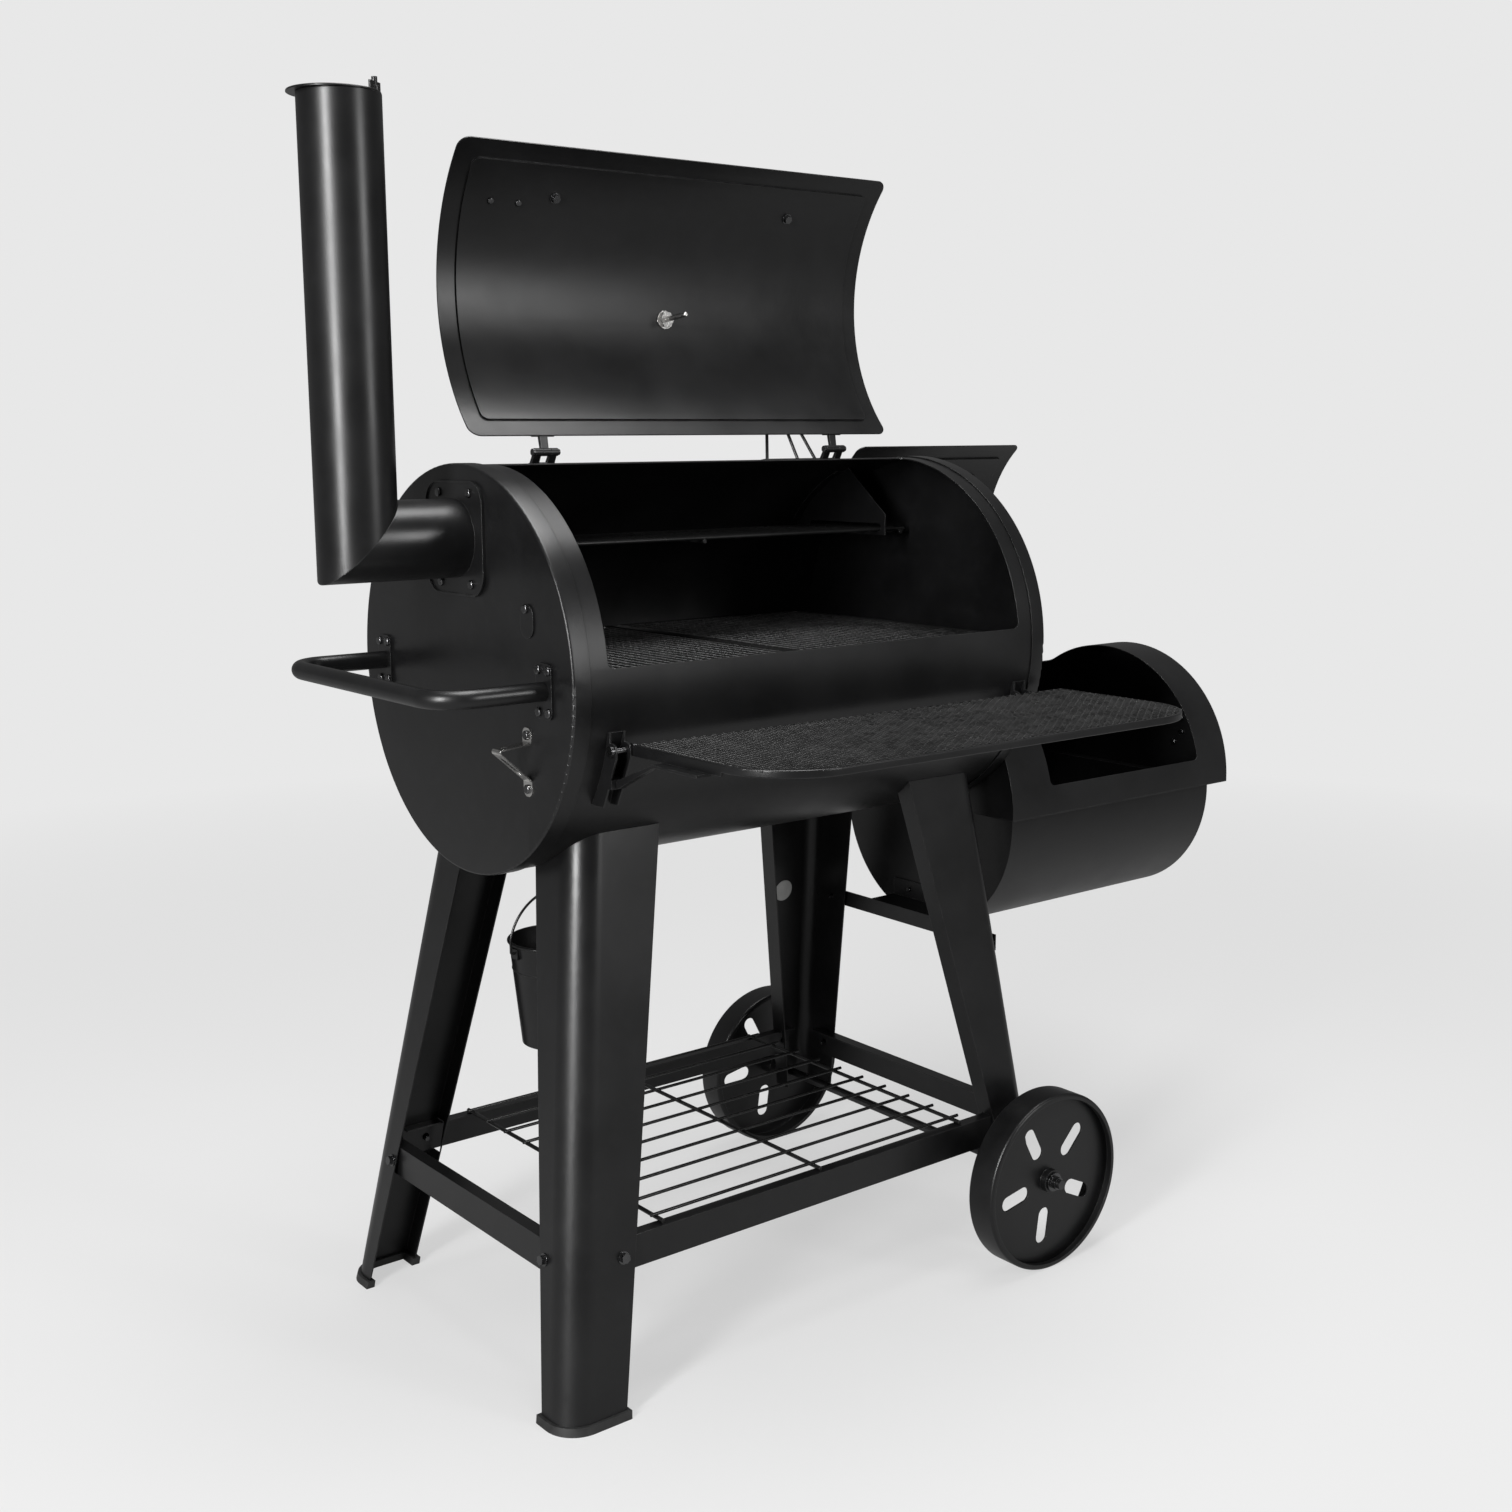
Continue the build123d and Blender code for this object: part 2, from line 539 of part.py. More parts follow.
def pressed_lid(field_r, lid_inner, front, rear, centre_z, x0, x1, border, front_border, corner):
    """A lid whose field lies flush in the opening and whose border laps over the shell around it."""
    outer = lid_inner + SHEET
    step = degrees(border / outer)
    front_step = degrees(front_border / outer)
    lid = rounded_strip(field_r, outer, front, rear, centre_z, x0, x1, corner)
    under = arc_strip(field_r - 5, lid_inner, front - 2, rear + 2, centre_z, x0 - 5, x1 + 5)
    under -= rounded_strip(field_r - 6, lid_inner + 1, front + front_step, rear - step, centre_z,
                           x0 + border, x1 - border, 9)
    wall = degrees(SHEET / outer)
    over = rounded_strip(field_r + SHEET, outer + 5, front + front_step + wall, rear - step - wall, centre_z,
                         x0 + border + SHEET, x1 - border - SHEET, 7.5)
    return lid - under - over


def main_lid_closed():
    lid = pressed_lid(FIELD_R + 0.2, LID_INNER_R, LID_FRONT, LID_REAR, DRUM_Z, LID_X0, LID_X1, LID_BORDER,
                      LID_BORDER, 14)
    for x in LID_HANDLE_X:
        lid -= surface_plane(DRUM_R, LID_HANDLE_ANGLE, DRUM_Z, x) * Cylinder(3.1, 20)
    for place in rivet_places():
        lid -= place * Cylinder(RIVET_R, 20)
    return lid - surface_plane(DRUM_R, DIAL_ANGLE, DRUM_Z, DIAL_X) * Cylinder(5.1, 20)


def u_handle(x0, x1, angle, radius, centre_z, reach, tube_r, bend):
    """A bent tube handle on two round feet, on a rolled surface."""
    foot = 2.0
    base = [(x, *polar(radius + GAP + foot, angle, centre_z)) for x in (x0, x1)]
    top = [(x, *polar(radius + reach, angle, centre_z)) for x in (x0, x1)]
    handle = bent_tube([base[0], top[0], top[1], base[1]], bend, tube_r, 1.8)
    for x in (x0, x1):
        place = surface_plane(radius + GAP, angle, centre_z, x)
        handle += place * Pos(0, 0, foot / 2) * (Cylinder(tube_r + 5, foot) - Cylinder(3.1, foot))
    return handle


def inner_bolt(x, angle, inner_r, centre_z):
    """A bolt whose head is inside the lid and whose shank goes out into the handle."""
    inward = (0, cos(radians(angle)), -sin(radians(angle)))
    place = Plane(origin=(x, *polar(inner_r - 0.1, angle, centre_z)), x_dir=(1, 0, 0), z_dir=inward)
    return hex_bolt(place, across=9, head_h=4, shank_r=3.0, shank=14, washer_r=6.5)


def main_lid_handle():
    return opened_main(u_handle(*LID_HANDLE_X, LID_HANDLE_ANGLE, DRUM_R + 0.2, DRUM_Z, LID_HANDLE_REACH,
                                HANDLE_R, 32))


RIVET_R, RIVET_HEAD_R = 1.8, 3.8


def rivet_places():
    """Planes on the lid's inner face, facing inwards, behind the nameplate's two rivets."""
    x0, x1 = NAMEPLATE_X
    angle = sum(NAMEPLATE_ANGLES) / 2
    inward = (0, cos(radians(angle)), -sin(radians(angle)))
    return [Plane(origin=(x, *polar(FIELD_R + 0.1, angle, DRUM_Z)), x_dir=(1, 0, 0), z_dir=inward)
            for x in (x0 + 10, x1 - 10)]


def main_lid_bolts():
    bolts = [inner_bolt(x, LID_HANDLE_ANGLE, FIELD_R + 0.2, DRUM_Z) for x in LID_HANDLE_X]
    rivets = [pan_screw(place, RIVET_HEAD_R, 2.2, RIVET_R - 0.1, SHEET + 0.3) for place in rivet_places()]
    return opened_main(group(bolts + rivets))


def nameplate_blank():
    """A blank plate held by two rivets near the lid's front left corner."""
    (x0, x1), (a0, a1) = NAMEPLATE_X, NAMEPLATE_ANGLES
    plate = rounded_strip(DRUM_R + 0.5, DRUM_R + 1.5, a0, a1, DRUM_Z, x0, x1, 4)
    for x in (x0 + 10, x1 - 10):
        place = surface_plane(DRUM_R + 1, (a0 + a1) / 2, DRUM_Z, x)
        plate += place * Pos(0, 0, 1) * Cylinder(3, 1.5)
    return opened_main(plate)


DIAL_CASE_R, DIAL_CASE_DEPTH = 37.0, 13.0
STEM_R, STEM_LENGTH = 3.2, 48.0
DIAL_PLACE = surface_plane(DRUM_R + 0.2, DIAL_ANGLE, DRUM_Z, DIAL_X)
CASE_FLOOR = 3.0            # above the lid, where the curved surface has fallen away
NEEDLE_REST = 135.0         # degrees from the top of the dial, before the needle has turned


def thermometer_case():
    r, depth = DIAL_CASE_R, DIAL_CASE_DEPTH
    case = Pos(0, 0, CASE_FLOOR + depth / 2) * Cylinder(r, depth)
    case = fillet(case.edges().sort_by(Axis.Z)[-1], 1.5)
    case -= Pos(0, 0, CASE_FLOOR + 2 + depth / 2) * Cylinder(r - 2.5, depth)
    case += Pos(0, 0, CASE_FLOOR / 2 + 0.1) * Cylinder(9, CASE_FLOOR - 0.2)
    return opened_main(DIAL_PLACE * (case - Cylinder(STEM_R + 0.1, 20)))


def thermometer_dial():
    dial = Pos(0, 0, CASE_FLOOR + 3) * (Cylinder(DIAL_CASE_R - 2.8, 1.0) - Cylinder(1.6, 1.0))
    return opened_main(DIAL_PLACE * dial)


def thermometer_lens():
    lens = Pos(0, 0, CASE_FLOOR + DIAL_CASE_DEPTH - 2) * Cylinder(DIAL_CASE_R - 2.6, 2)
    return opened_main(DIAL_PLACE * lens)


def thermometer_needle():
    z = CASE_FLOOR + 6.0
    needle = Pos(0, 9, z) * Box(1.8, 36, 0.8) + Pos(0, 0, z) * Cylinder(3.2, 1.6)
    return opened_main(DIAL_PLACE * Rot(0, 0, NEEDLE_REST) * (needle - Cylinder(1.06, 60)))


def thermometer_stem():
    """The probe stem with the nut inside the lid and the spindle that carries the needle."""
    floor = CASE_FLOOR + 2
    stem = Pos(0, 0, (floor - STEM_LENGTH) / 2) * Cylinder(STEM_R, STEM_LENGTH + floor - 0.1)
    stem = fillet(stem.edges().sort_by(Axis.Z)[0], 2.0)
    stem += Pos(0, 0, floor + 2) * Cylinder(1.0, 6)
    nut_top = -SHEET - 0.4
    stem += Pos(0, 0, nut_top - 0.75) * Cylinder(11, 1.5)
    stem += Pos(0, 0, nut_top - 6.5) * extrude(RegularPolygon(8.5, 6, major_radius=False), 5.5)
    return opened_main(DIAL_PLACE * stem)


# ---- front shelf ----
def shelf_outline(inset):
    """The shelf's plan: square at the back, with large round front corners."""
    x0, x1 = SHELF_X0 + inset, SHELF_X1 - inset
    y0, y1 = SHELF_FRONT + inset, SHELF_BACK - inset
    corner = SHELF_CORNER - inset
    plan = Pos((x0 + x1) / 2, (y0 + y1) / 2) * Rectangle(x1 - x0, y1 - y0)
    return fillet(plan.vertices().group_by(Axis.Y)[0], corner)


SHELF_WALL = 3.0
STRUT_GAP = 6.0             # between a bracket's edge and the strut inside it
STRUT_BEND = (-290.0, 723.5)
STRUT_FOOT = (-227.0, 697.0)
STRUT_END = -366.0


def shelf_rim():
    """The bar bent round the shelf, its outer edges rounded over."""
    plan = shelf_outline(0) - shelf_outline(SHELF_WALL)
    rim = extrude(Pos(0, 0, SHELF_Z - SHELF_RIM) * plan, SHELF_RIM)
    faces = rim.faces().sort_by(Axis.Z)
    return fillet(faces[0].outer_wire().edges() + faces[-1].outer_wire().edges(), SHELF_WALL / 2)


def shelf_frame():
    """The bar around the shelf, its second side bar and the two bent struts."""
    z0 = SHELF_Z - SHELF_BAR
    frame = shelf_rim()
    py, pz = SHELF_PIVOT
    for x in BRACKET_X:
        a, b = x + STRUT_GAP, x + BRACKET_WIDTH + 1 + SHELF_WALL
        frame += block(b - SHELF_WALL, b, SHELF_FRONT + SHELF_CORNER, py + 6, z0, SHELF_Z - 2.2)
        frame += block(a, b, STRUT_END, STRUT_BEND[0], z0 - 3, z0)
        leg = [(STRUT_BEND[0] - 2, z0), (STRUT_BEND[0] - 2, z0 - 3), (STRUT_FOOT[0] - 3, STRUT_FOOT[1] - 6),
               (STRUT_FOOT[0], STRUT_FOOT[1] - 6), (STRUT_FOOT[0], STRUT_FOOT[1] + 2)]
        frame += polygon_plate(leg, a, x + BRACKET_WIDTH - STRUT_GAP)
        frame -= cylinder_x(3.1, x + BRACKET_WIDTH, x + BRACKET_WIDTH + 10, py, pz)
    return frame


def shelf_mesh():
    """The expanded sheet inside the shelf's bar."""
    return extrude(Pos(0, 0, SHELF_Z - 2) * shelf_outline(SHELF_WALL), 1.5)


# The cheek ends in an eye round the pivot, so that the shelf's rear bar clears it when folded up.
CHEEK_PROFILE = [(-215, 750), (-225, 750), (-225, 739), (-229, 739), (-234.5, 736.5), (-236, 731),
                 (-236, 724), (-211, 669), (-180, 669)]


def shelf_brackets():
    """Channel brackets on the drum: a back plate, two cheeks and a stop for the strut."""
    brackets = []
    for x in BRACKET_X:
        cheek = polygon_plate(CHEEK_PROFILE, x, x + 2)
        cheek += polygon_plate(CHEEK_PROFILE, x + BRACKET_WIDTH - 2, x + BRACKET_WIDTH)
        cheek += polygon_plate([(-215, 750), (-224, 750), (-197, 669), (-180, 669)], x, x + BRACKET_WIDTH)
        cheek += block(x, x + BRACKET_WIDTH, STRUT_FOOT[0] + 0.4, -205, 690, 700)
        cheek -= cylinder_x(DRUM_R + 0.1, x - 5, x + BRACKET_WIDTH + 5, 0, DRUM_Z)
        brackets.append(cheek - cylinder_x(3.05, x - 1, x + BRACKET_WIDTH + 1, *SHELF_PIVOT))
    return group(brackets)


def shelf_bolts():
    """The pivot bolts, and the screws that hold the brackets."""
    bolts = []
    for x in BRACKET_X:
        y, z = SHELF_PIVOT
        end = x + BRACKET_WIDTH + SHELF_WALL + 1.4
        bolt = cylinder_x(3.0, x - 2, end + 3, y, z) + cylinder_x(6, x - 4, x - 0.1, y, z)
        bolts.append(bolt + cylinder_x(6, end, end + 4, y, z))
    return group(bolts)


# ---- firebox ----
def firebox_hood():
    """The upper half of the firebox: a rolled hood closed by two end plates."""
    hood = arc_strip(FIRE_R - SHEET, FIRE_R, 0, 180, FIRE_Z, FIRE_X0, FIRE_X1)
    skirt = block(FIRE_X0, FIRE_X1, -FIRE_R, FIRE_R, HOOD_BOTTOM, FIRE_Z)
    hood += skirt - block(FIRE_X0 - 1, FIRE_X1 + 1, SHEET - FIRE_R, FIRE_R - SHEET, HOOD_BOTTOM, FIRE_Z)
    for x in (FIRE_X0, FIRE_X1 - SHEET):
        plate = cylinder_x(FIRE_R - 0.5, x, x + SHEET, 0, FIRE_Z)
        hood += plate & block(x, x + SHEET, -FIRE_R, FIRE_R, HOOD_BOTTOM, FIRE_Z + FIRE_R)
    hood -= rounded_strip(FIRE_R - 6, FIRE_R + 6, FIRE_OPEN_FRONT, FIRE_OPEN_REAR, FIRE_Z, FIRE_OPEN_X0,
                          FIRE_OPEN_X1, 8)
    hood -= firebox_port(FIRE_X0 - 1, FIRE_X0 + 5)
    for place in hood_screw_places:
        hood -= place * Cylinder(2.6, 8)
    return hood


DAMPER_HOLES = 4
DAMPER_HOLE_R, DAMPER_CIRCLE_R = 12.0, 27.0
DAMPER_R = 48.0


def damper_holes(x0, x1, turn):
    step = 360 / DAMPER_HOLES
    places = [radians(turn + i * step) for i in range(DAMPER_HOLES)]
    return [cylinder_x(DAMPER_HOLE_R, x0, x1, DAMPER_CIRCLE_R * cos(a), DAMPER_Z + DAMPER_CIRCLE_R * sin(a))
            for a in places]


def firebox_trough():
    """The lower half: a rolled trough, two end discs and the flange that the hood stands on."""
    top = HOOD_BOTTOM - SHEET
    rise = degrees((top - TROUGH_Z) / TROUGH_R)
    trough = arc_strip(TROUGH_R - SHEET, TROUGH_R, 180 - rise, 360 + rise, TROUGH_Z, TROUGH_X0, TROUGH_X1)
    for x in (TROUGH_X0, TROUGH_X1 - SHEET):
        disc = cylinder_x(TROUGH_R - 0.5, x, x + SHEET, 0, TROUGH_Z)
        trough += disc & block(x, x + SHEET, -TROUGH_R, TROUGH_R, TROUGH_Z - TROUGH_R, top)
    flange = block(FIRE_X0, FIRE_X1, -FIRE_R, FIRE_R, top, HOOD_BOTTOM)
    inner = TROUGH_R - SHEET - 1
    flange -= block(TROUGH_X0 + SHEET, TROUGH_X1 - SHEET, -inner, inner, top - 1, HOOD_BOTTOM + 1)
    trough += flange
    for hole in damper_holes(TROUGH_X1 - 5, TROUGH_X1 + 2, 0):
        trough -= hole
    trough -= cylinder_x(3.1, TROUGH_X1 - 5, TROUGH_X1 + 2, 0, DAMPER_Z)
    for place in brace_bolt_places:
        trough -= place * Cylinder(3.1, 14)
    return trough


def firebox_lid():
    lid = pressed_lid(FIRE_R - SHEET + 0.2, FIRE_R + LID_LIFT, FIRE_LID_FRONT, FIRE_LID_REAR, FIRE_Z,
                      FIRE_LID_X0, FIRE_LID_X1, FIRE_LID_BORDER, FIRE_LID_BORDER + 7, 12)
    for x in FIRE_HANDLE_X:
        lid -= surface_plane(FIRE_R, FIRE_HANDLE_ANGLE, FIRE_Z, x) * Cylinder(3.1, 20)
    return opened_fire(lid)


FIRE_HANDLE_ANGLE = 24.0
FIRE_MIDDLE = (FIRE_LID_X0 + FIRE_LID_X1) / 2
FIRE_HANDLE_X = (FIRE_MIDDLE - 100, FIRE_MIDDLE + 100)


def firebox_lid_handle():
    """The tube handle, with its two bolts through the lid."""
    handle = u_handle(*FIRE_HANDLE_X, FIRE_HANDLE_ANGLE, FIRE_R + 0.2, FIRE_Z, 42, 8.5, 26)
    bolts = [inner_bolt(x, FIRE_HANDLE_ANGLE, FIRE_R - SHEET + 0.2, FIRE_Z) for x in FIRE_HANDLE_X]
    return opened_fire(group([handle] + bolts))


def fire_grate():
    """Round bars for the fire, resting across the trough."""
    z, r, reach = 470.0, 4.0, 135.0
    rods = [rod((x, -reach, z), (x, reach, z), r) for x in (TROUGH_X0 + 45, FIRE_MIDDLE, TROUGH_X1 - 45)]
    bars = 9
    for i in range(bars):
        y = -reach + 15 + i * (2 * reach - 30) / (bars - 1)
        rods.append(rod((TROUGH_X0 + 8, y, z + 6), (TROUGH_X1 - 8, y, z + 6), r))
    grate = rods[0]
    for piece in rods[1:]:
        grate += piece
    return grate


def damper_disc():
    x0 = TROUGH_X1 + GAP
    disc = cylinder_x(DAMPER_R, x0, x0 + SHEET, 0, DAMPER_Z)
    for hole in damper_holes(x0 - 1, x0 + 5, 360 / DAMPER_HOLES / 2):
        disc -= hole
    return disc - cylinder_x(3.1, x0 - 1, x0 + 5, 0, DAMPER_Z)


DAMPER_KNOB_END = TROUGH_X1 + 26.0


def damper_knob():
    """A round knob fixed to the disc near its edge."""
    x0 = TROUGH_X1 + GAP + SHEET
    knob = cylinder_x(4, x0, x0 + 8, 0, DAMPER_Z + DAMPER_R - 8)
    grip = cylinder_x(9, x0 + 6, DAMPER_KNOB_END, 0, DAMPER_Z + DAMPER_R - 8)
    return knob + fillet(grip.edges(), 3)


brace_bolt_places = [Plane(origin=(TROUGH_X0 + SHEET, y, 425.0), x_dir=(0, 1, 0), z_dir=(1, 0, 0))
                     for y in (-30.0, 30.0)]
hood_screw_places = [Plane(origin=(FIRE_X1 - SHEET, y, z), x_dir=(0, 1, 0), z_dir=(-1, 0, 0))
                     for y, z in ((-98.0, 641.0), (-99.0, 620.0), (-85.0, 604.0))]


def firebox_bolts():
    """The damper's pivot, the bolts on the brace and the screws in the hood's right end."""
    x1 = TROUGH_X1 + GAP + SHEET
    pivot = cylinder_x(3.0, TROUGH_X1 - 6, x1 + 3, 0, DAMPER_Z)
    pivot += cylinder_x(6, x1 + 0.3, x1 + 4, 0, DAMPER_Z)
    pivot += cylinder_x(6, TROUGH_X1 - 5.6, TROUGH_X1 - SHEET - 0.1, 0, DAMPER_Z)
    bolts = [hex_bolt(place, shank=7) for place in brace_bolt_places]
    return group([pivot] + bolts + [pan_screw(place, shank=1.4) for place in hood_screw_places])


# ---- stand ----
class Leg:
    """A tapered folded leg: a side flange, a round corner, a front flange and a return lip.

    Sizes are given at Z = 0 and at LEG_TOP; toward is +1 where the front flange runs towards +X."""

    def __init__(self, corner_x, inner_x, side, round_r, toward, bottom):
        self.corner_x, self.inner_x, self.side = corner_x, inner_x, side
        self.round_r, self.toward, self.bottom = round_r, toward, bottom

    def at(self, pair, z):
        return pair[0] + (pair[1] - pair[0]) * z / LEG_TOP

    def section(self, z, grow=0.0):
        xc = self.at(self.corner_x, z) - self.toward * grow
        xi = self.at(self.inner_x, z) + self.toward * grow
        yc = self.at(LEG_CORNER_Y, z) - grow
        s, t, r = self.toward, LEG_SHEET + 2 * grow, self.round_r + grow
        ys = yc + self.at(self.side, z) + 2 * grow
        lip = yc + LEG_LIP + 2 * grow
        k = 1 - cos(radians(45))
        edges = Polyline((xc, ys, z), (xc, yc + r, z)).edges()
        edges += [ThreePointArc((xc, yc + r, z), (xc + s * r * k, yc + r * k, z), (xc + s * r, yc, z))]
        edges += Polyline((xc + s * r, yc, z), (xi, yc, z), (xi, lip, z), (xi - s * t, lip, z),
                          (xi - s * t, yc + t, z), (xc + s * r, yc + t, z)).edges()
        q = r - t
        edges += [ThreePointArc((xc + s * r, yc + t, z), (xc + s * (t + q * k), yc + t + q * k, z),
                                (xc + s * t, yc + r, z))]
        edges += Polyline((xc + s * t, yc + r, z), (xc + s * t, ys, z), (xc, ys, z)).edges()
        return Face(Wire(edges))

    def front(self):
        body = loft([self.section(self.bottom), self.section(LEG_TOP)], ruled=True)
        body -= cylinder_x(DRUM_R + 0.1, -200, 900, 0, DRUM_Z)
        y0, y1 = RAIL_WEB_Y - 0.15, RAIL_WEB_Y + RAIL_FLANGE + 2
        x0, x1 = sorted((self.at(self.inner_x, RAIL_Z0) - self.toward * 25,
                         self.at(self.inner_x, RAIL_Z1) + self.toward * 10))
        return body - block(x0, x1, y0, y1, RAIL_Z0 - 1, RAIL_Z1 + 1)


LEG_CORNER_Y = (-253.8, -143.2)
LEG_LIP = 26.0
RAIL_WEB_Y = -220.9
LEFT_LEG = Leg((-45.4, 57.2), (31.9, 169.4), (49.5, 87.3), 34.0, 1, FOOT_HEIGHT / 3)
RIGHT_LEG = Leg((703.3, 642.4), (663.3, 525.8), (60.0, 87.3), 18.0, -1, 98.0)
STAND_BOLTS_SIDE = (-176.0, 171.0)
RAIL_HOLE_R = 4.6           # wide enough for bolts that slope with the legs
FRONT_BOLT_X = (50.0, 640.0)
LEG_SLOPE_X = (LEFT_LEG.corner_x[1] - LEFT_LEG.corner_x[0]) / LEG_TOP
LEG_SLOPE_Y = (LEG_CORNER_Y[1] - LEG_CORNER_Y[0]) / LEG_TOP
RIGHT_SLOPE_X = (RIGHT_LEG.corner_x[1] - RIGHT_LEG.corner_x[0]) / LEG_TOP


def stand_bolt_places():
    """Where the rails and the brace are bolted through the front legs' outer faces."""
    y, z = STAND_BOLTS_SIDE
    left = (LEFT_LEG.at(LEFT_LEG.corner_x, z), y, z)
    right = (RIGHT_LEG.at(RIGHT_LEG.corner_x, z), y, z)
    places = [Plane(origin=left, z_dir=(-1, 0, LEG_SLOPE_X)), Plane(origin=right, z_dir=(1, 0, -RIGHT_SLOPE_X))]
    front_y = LEFT_LEG.at(LEG_CORNER_Y, z)
    return places + [Plane(origin=(x, front_y, z), z_dir=(0, -1, LEG_SLOPE_Y)) for x in FRONT_BOLT_X]


BRACE_BOLT = (-140.0, 402.0)


def brace_bolt_plane():
    y, z = BRACE_BOLT
    return Plane(origin=(BRACE_X + LEG_SHEET, y, z), z_dir=(1, 0, 0))


def drilled_front_leg(leg):
    body = leg.front()
    for place in stand_bolt_places():
        body -= place * Cylinder(3.1, 16)
    body -= brace_bolt_plane() * Cylinder(3.1, 30)
    return body - cylinder_y(AXLE_R + 0.2, -280, -180, WHEEL_X, WHEEL_R)


def leg_front_left():
    return drilled_front_leg(LEFT_LEG)


def leg_front_right():
    return drilled_front_leg(RIGHT_LEG)


def leg_rear_left():
    return mirror(leg_front_left(), about=Plane.XZ)


def leg_rear_right():
    return mirror(leg_front_right(), about=Plane.XZ)


def foot_caps():
    """Moulded caps on the feet of the two left legs."""
    cap = loft([LEFT_LEG.section(0, 4.5), LEFT_LEG.section(FOOT_HEIGHT, 4.0)], ruled=True)
    pocket = loft([LEFT_LEG.section(FOOT_HEIGHT / 3, 0.15), LEFT_LEG.section(FOOT_HEIGHT + 2, 0.15)],
                  ruled=True)
    return both_sides(cap - pocket)


def side_rail(x0, x1, inward):
    """A rail across the stand: an upright web and a top flange turned inwards."""
    reach = 186.0
    web = block(x0, x1, -reach, reach, RAIL_Z0, RAIL_Z1)
    far = x1 + RAIL_FLANGE if inward > 0 else x0 - RAIL_FLANGE
    a, b = sorted((far, x0 if inward > 0 else x1))
    rail = web + block(a, b, -reach, reach, RAIL_Z1 - LEG_SHEET, RAIL_Z1)
    y, z = STAND_BOLTS_SIDE
    for side in (-1, 1):
        rail -= cylinder_x(RAIL_HOLE_R, x0 - 9, x1 + 9, side * y, z)
    return rail


LEFT_RAIL_X = LEFT_LEG.at(LEFT_LEG.corner_x, RAIL_Z1) + LEG_SHEET + 0.3
RIGHT_RAIL_X = RIGHT_LEG.at(RIGHT_LEG.corner_x, RAIL_Z1) - LEG_SHEET - 0.3


def rail_left():
    return side_rail(LEFT_RAIL_X, LEFT_RAIL_X + LEG_SHEET, 1)


def rail_right():
    return side_rail(RIGHT_RAIL_X - LEG_SHEET, RIGHT_RAIL_X, -1)


RAIL_X = (18.0, 652.0)


def rail_front():
    x0, x1 = RAIL_X
    y0 = RAIL_WEB_Y
    rail = block(x0, x1, y0, y0 + LEG_SHEET, RAIL_Z0, RAIL_Z1)
    rail += block(x0, x1, y0, y0 + RAIL_FLANGE, RAIL_Z1 - LEG_SHEET, RAIL_Z1)
    for x in FRONT_BOLT_X:
        rail -= cylinder_y(RAIL_HOLE_R, y0 - 9, y0 + 9, x, STAND_BOLTS_SIDE[1])
    return rail


def rail_rear():
    return mirror(rail_front(), about=Plane.XZ)


BRACE_Z0, BRACE_Z1 = 392.0, 413.0
BRACE_X = 669.4
BRACE_REACH = 178.0
BRACE_TAB_Y = 62.0


def firebox_brace():
    """A folded strip between the right legs, with a tab that holds the firebox's left end."""
    t = LEG_SHEET
    brace = block(BRACE_X, BRACE_X + t, -BRACE_REACH, BRACE_REACH, BRACE_Z0, BRACE_Z1)
    tab_x = TROUGH_X0 - 0.1
    brace += block(BRACE_X, tab_x, -BRACE_TAB_Y, BRACE_TAB_Y, BRACE_Z1 - t, BRACE_Z1)
    brace += block(tab_x - t, tab_x, -BRACE_TAB_Y, BRACE_TAB_Y, BRACE_Z1 - t, BRACE_Z1 + 24)
    for place in brace_bolt_places:
        brace -= place * Cylinder(3.1, 20)
    y, z = BRACE_BOLT
    for side in (-1, 1):
        brace -= cylinder_x(3.2, BRACE_X - 5, BRACE_X + 5, side * y, z)
    return brace


AXLE_WASHER = (12.0, 2.0)


def stand_bolts():
    """Rail and brace bolts, and the washers and cap nuts on the axle."""
    places = stand_bolt_places()
    bolts = [hex_bolt(place, shank=12) for place in places + [brace_bolt_plane()]]
    nut_y = -(WHEEL_FACE - HUB_RECESS + 0.5)
    radius, thick = AXLE_WASHER
    nut = cylinder_y(radius, nut_y - thick, nut_y, WHEEL_X, WHEEL_R)
    nut += cylinder_y(8.0, nut_y - thick - 7, nut_y - thick, WHEEL_X, WHEEL_R)
    nut -= cylinder_y(AXLE_R, nut_y - 30, nut_y + 1, WHEEL_X, WHEEL_R)
    return both_sides(group(bolts + [nut]))


def axle():
    return cylinder_y(AXLE_R, -AXLE_END, AXLE_END, WHEEL_X, WHEEL_R)


HUB_RECESS = 3.0            # from the wheel's outer face to the end of its hub
DISH_RECESS = 12.0
WHEEL_SLOTS = 5
SLOT_TURN = 46.0
SLOT_R0, SLOT_R1, SLOT_WIDTH = 37.0, 84.0, 19.0
WHEEL_WALL = 2.2


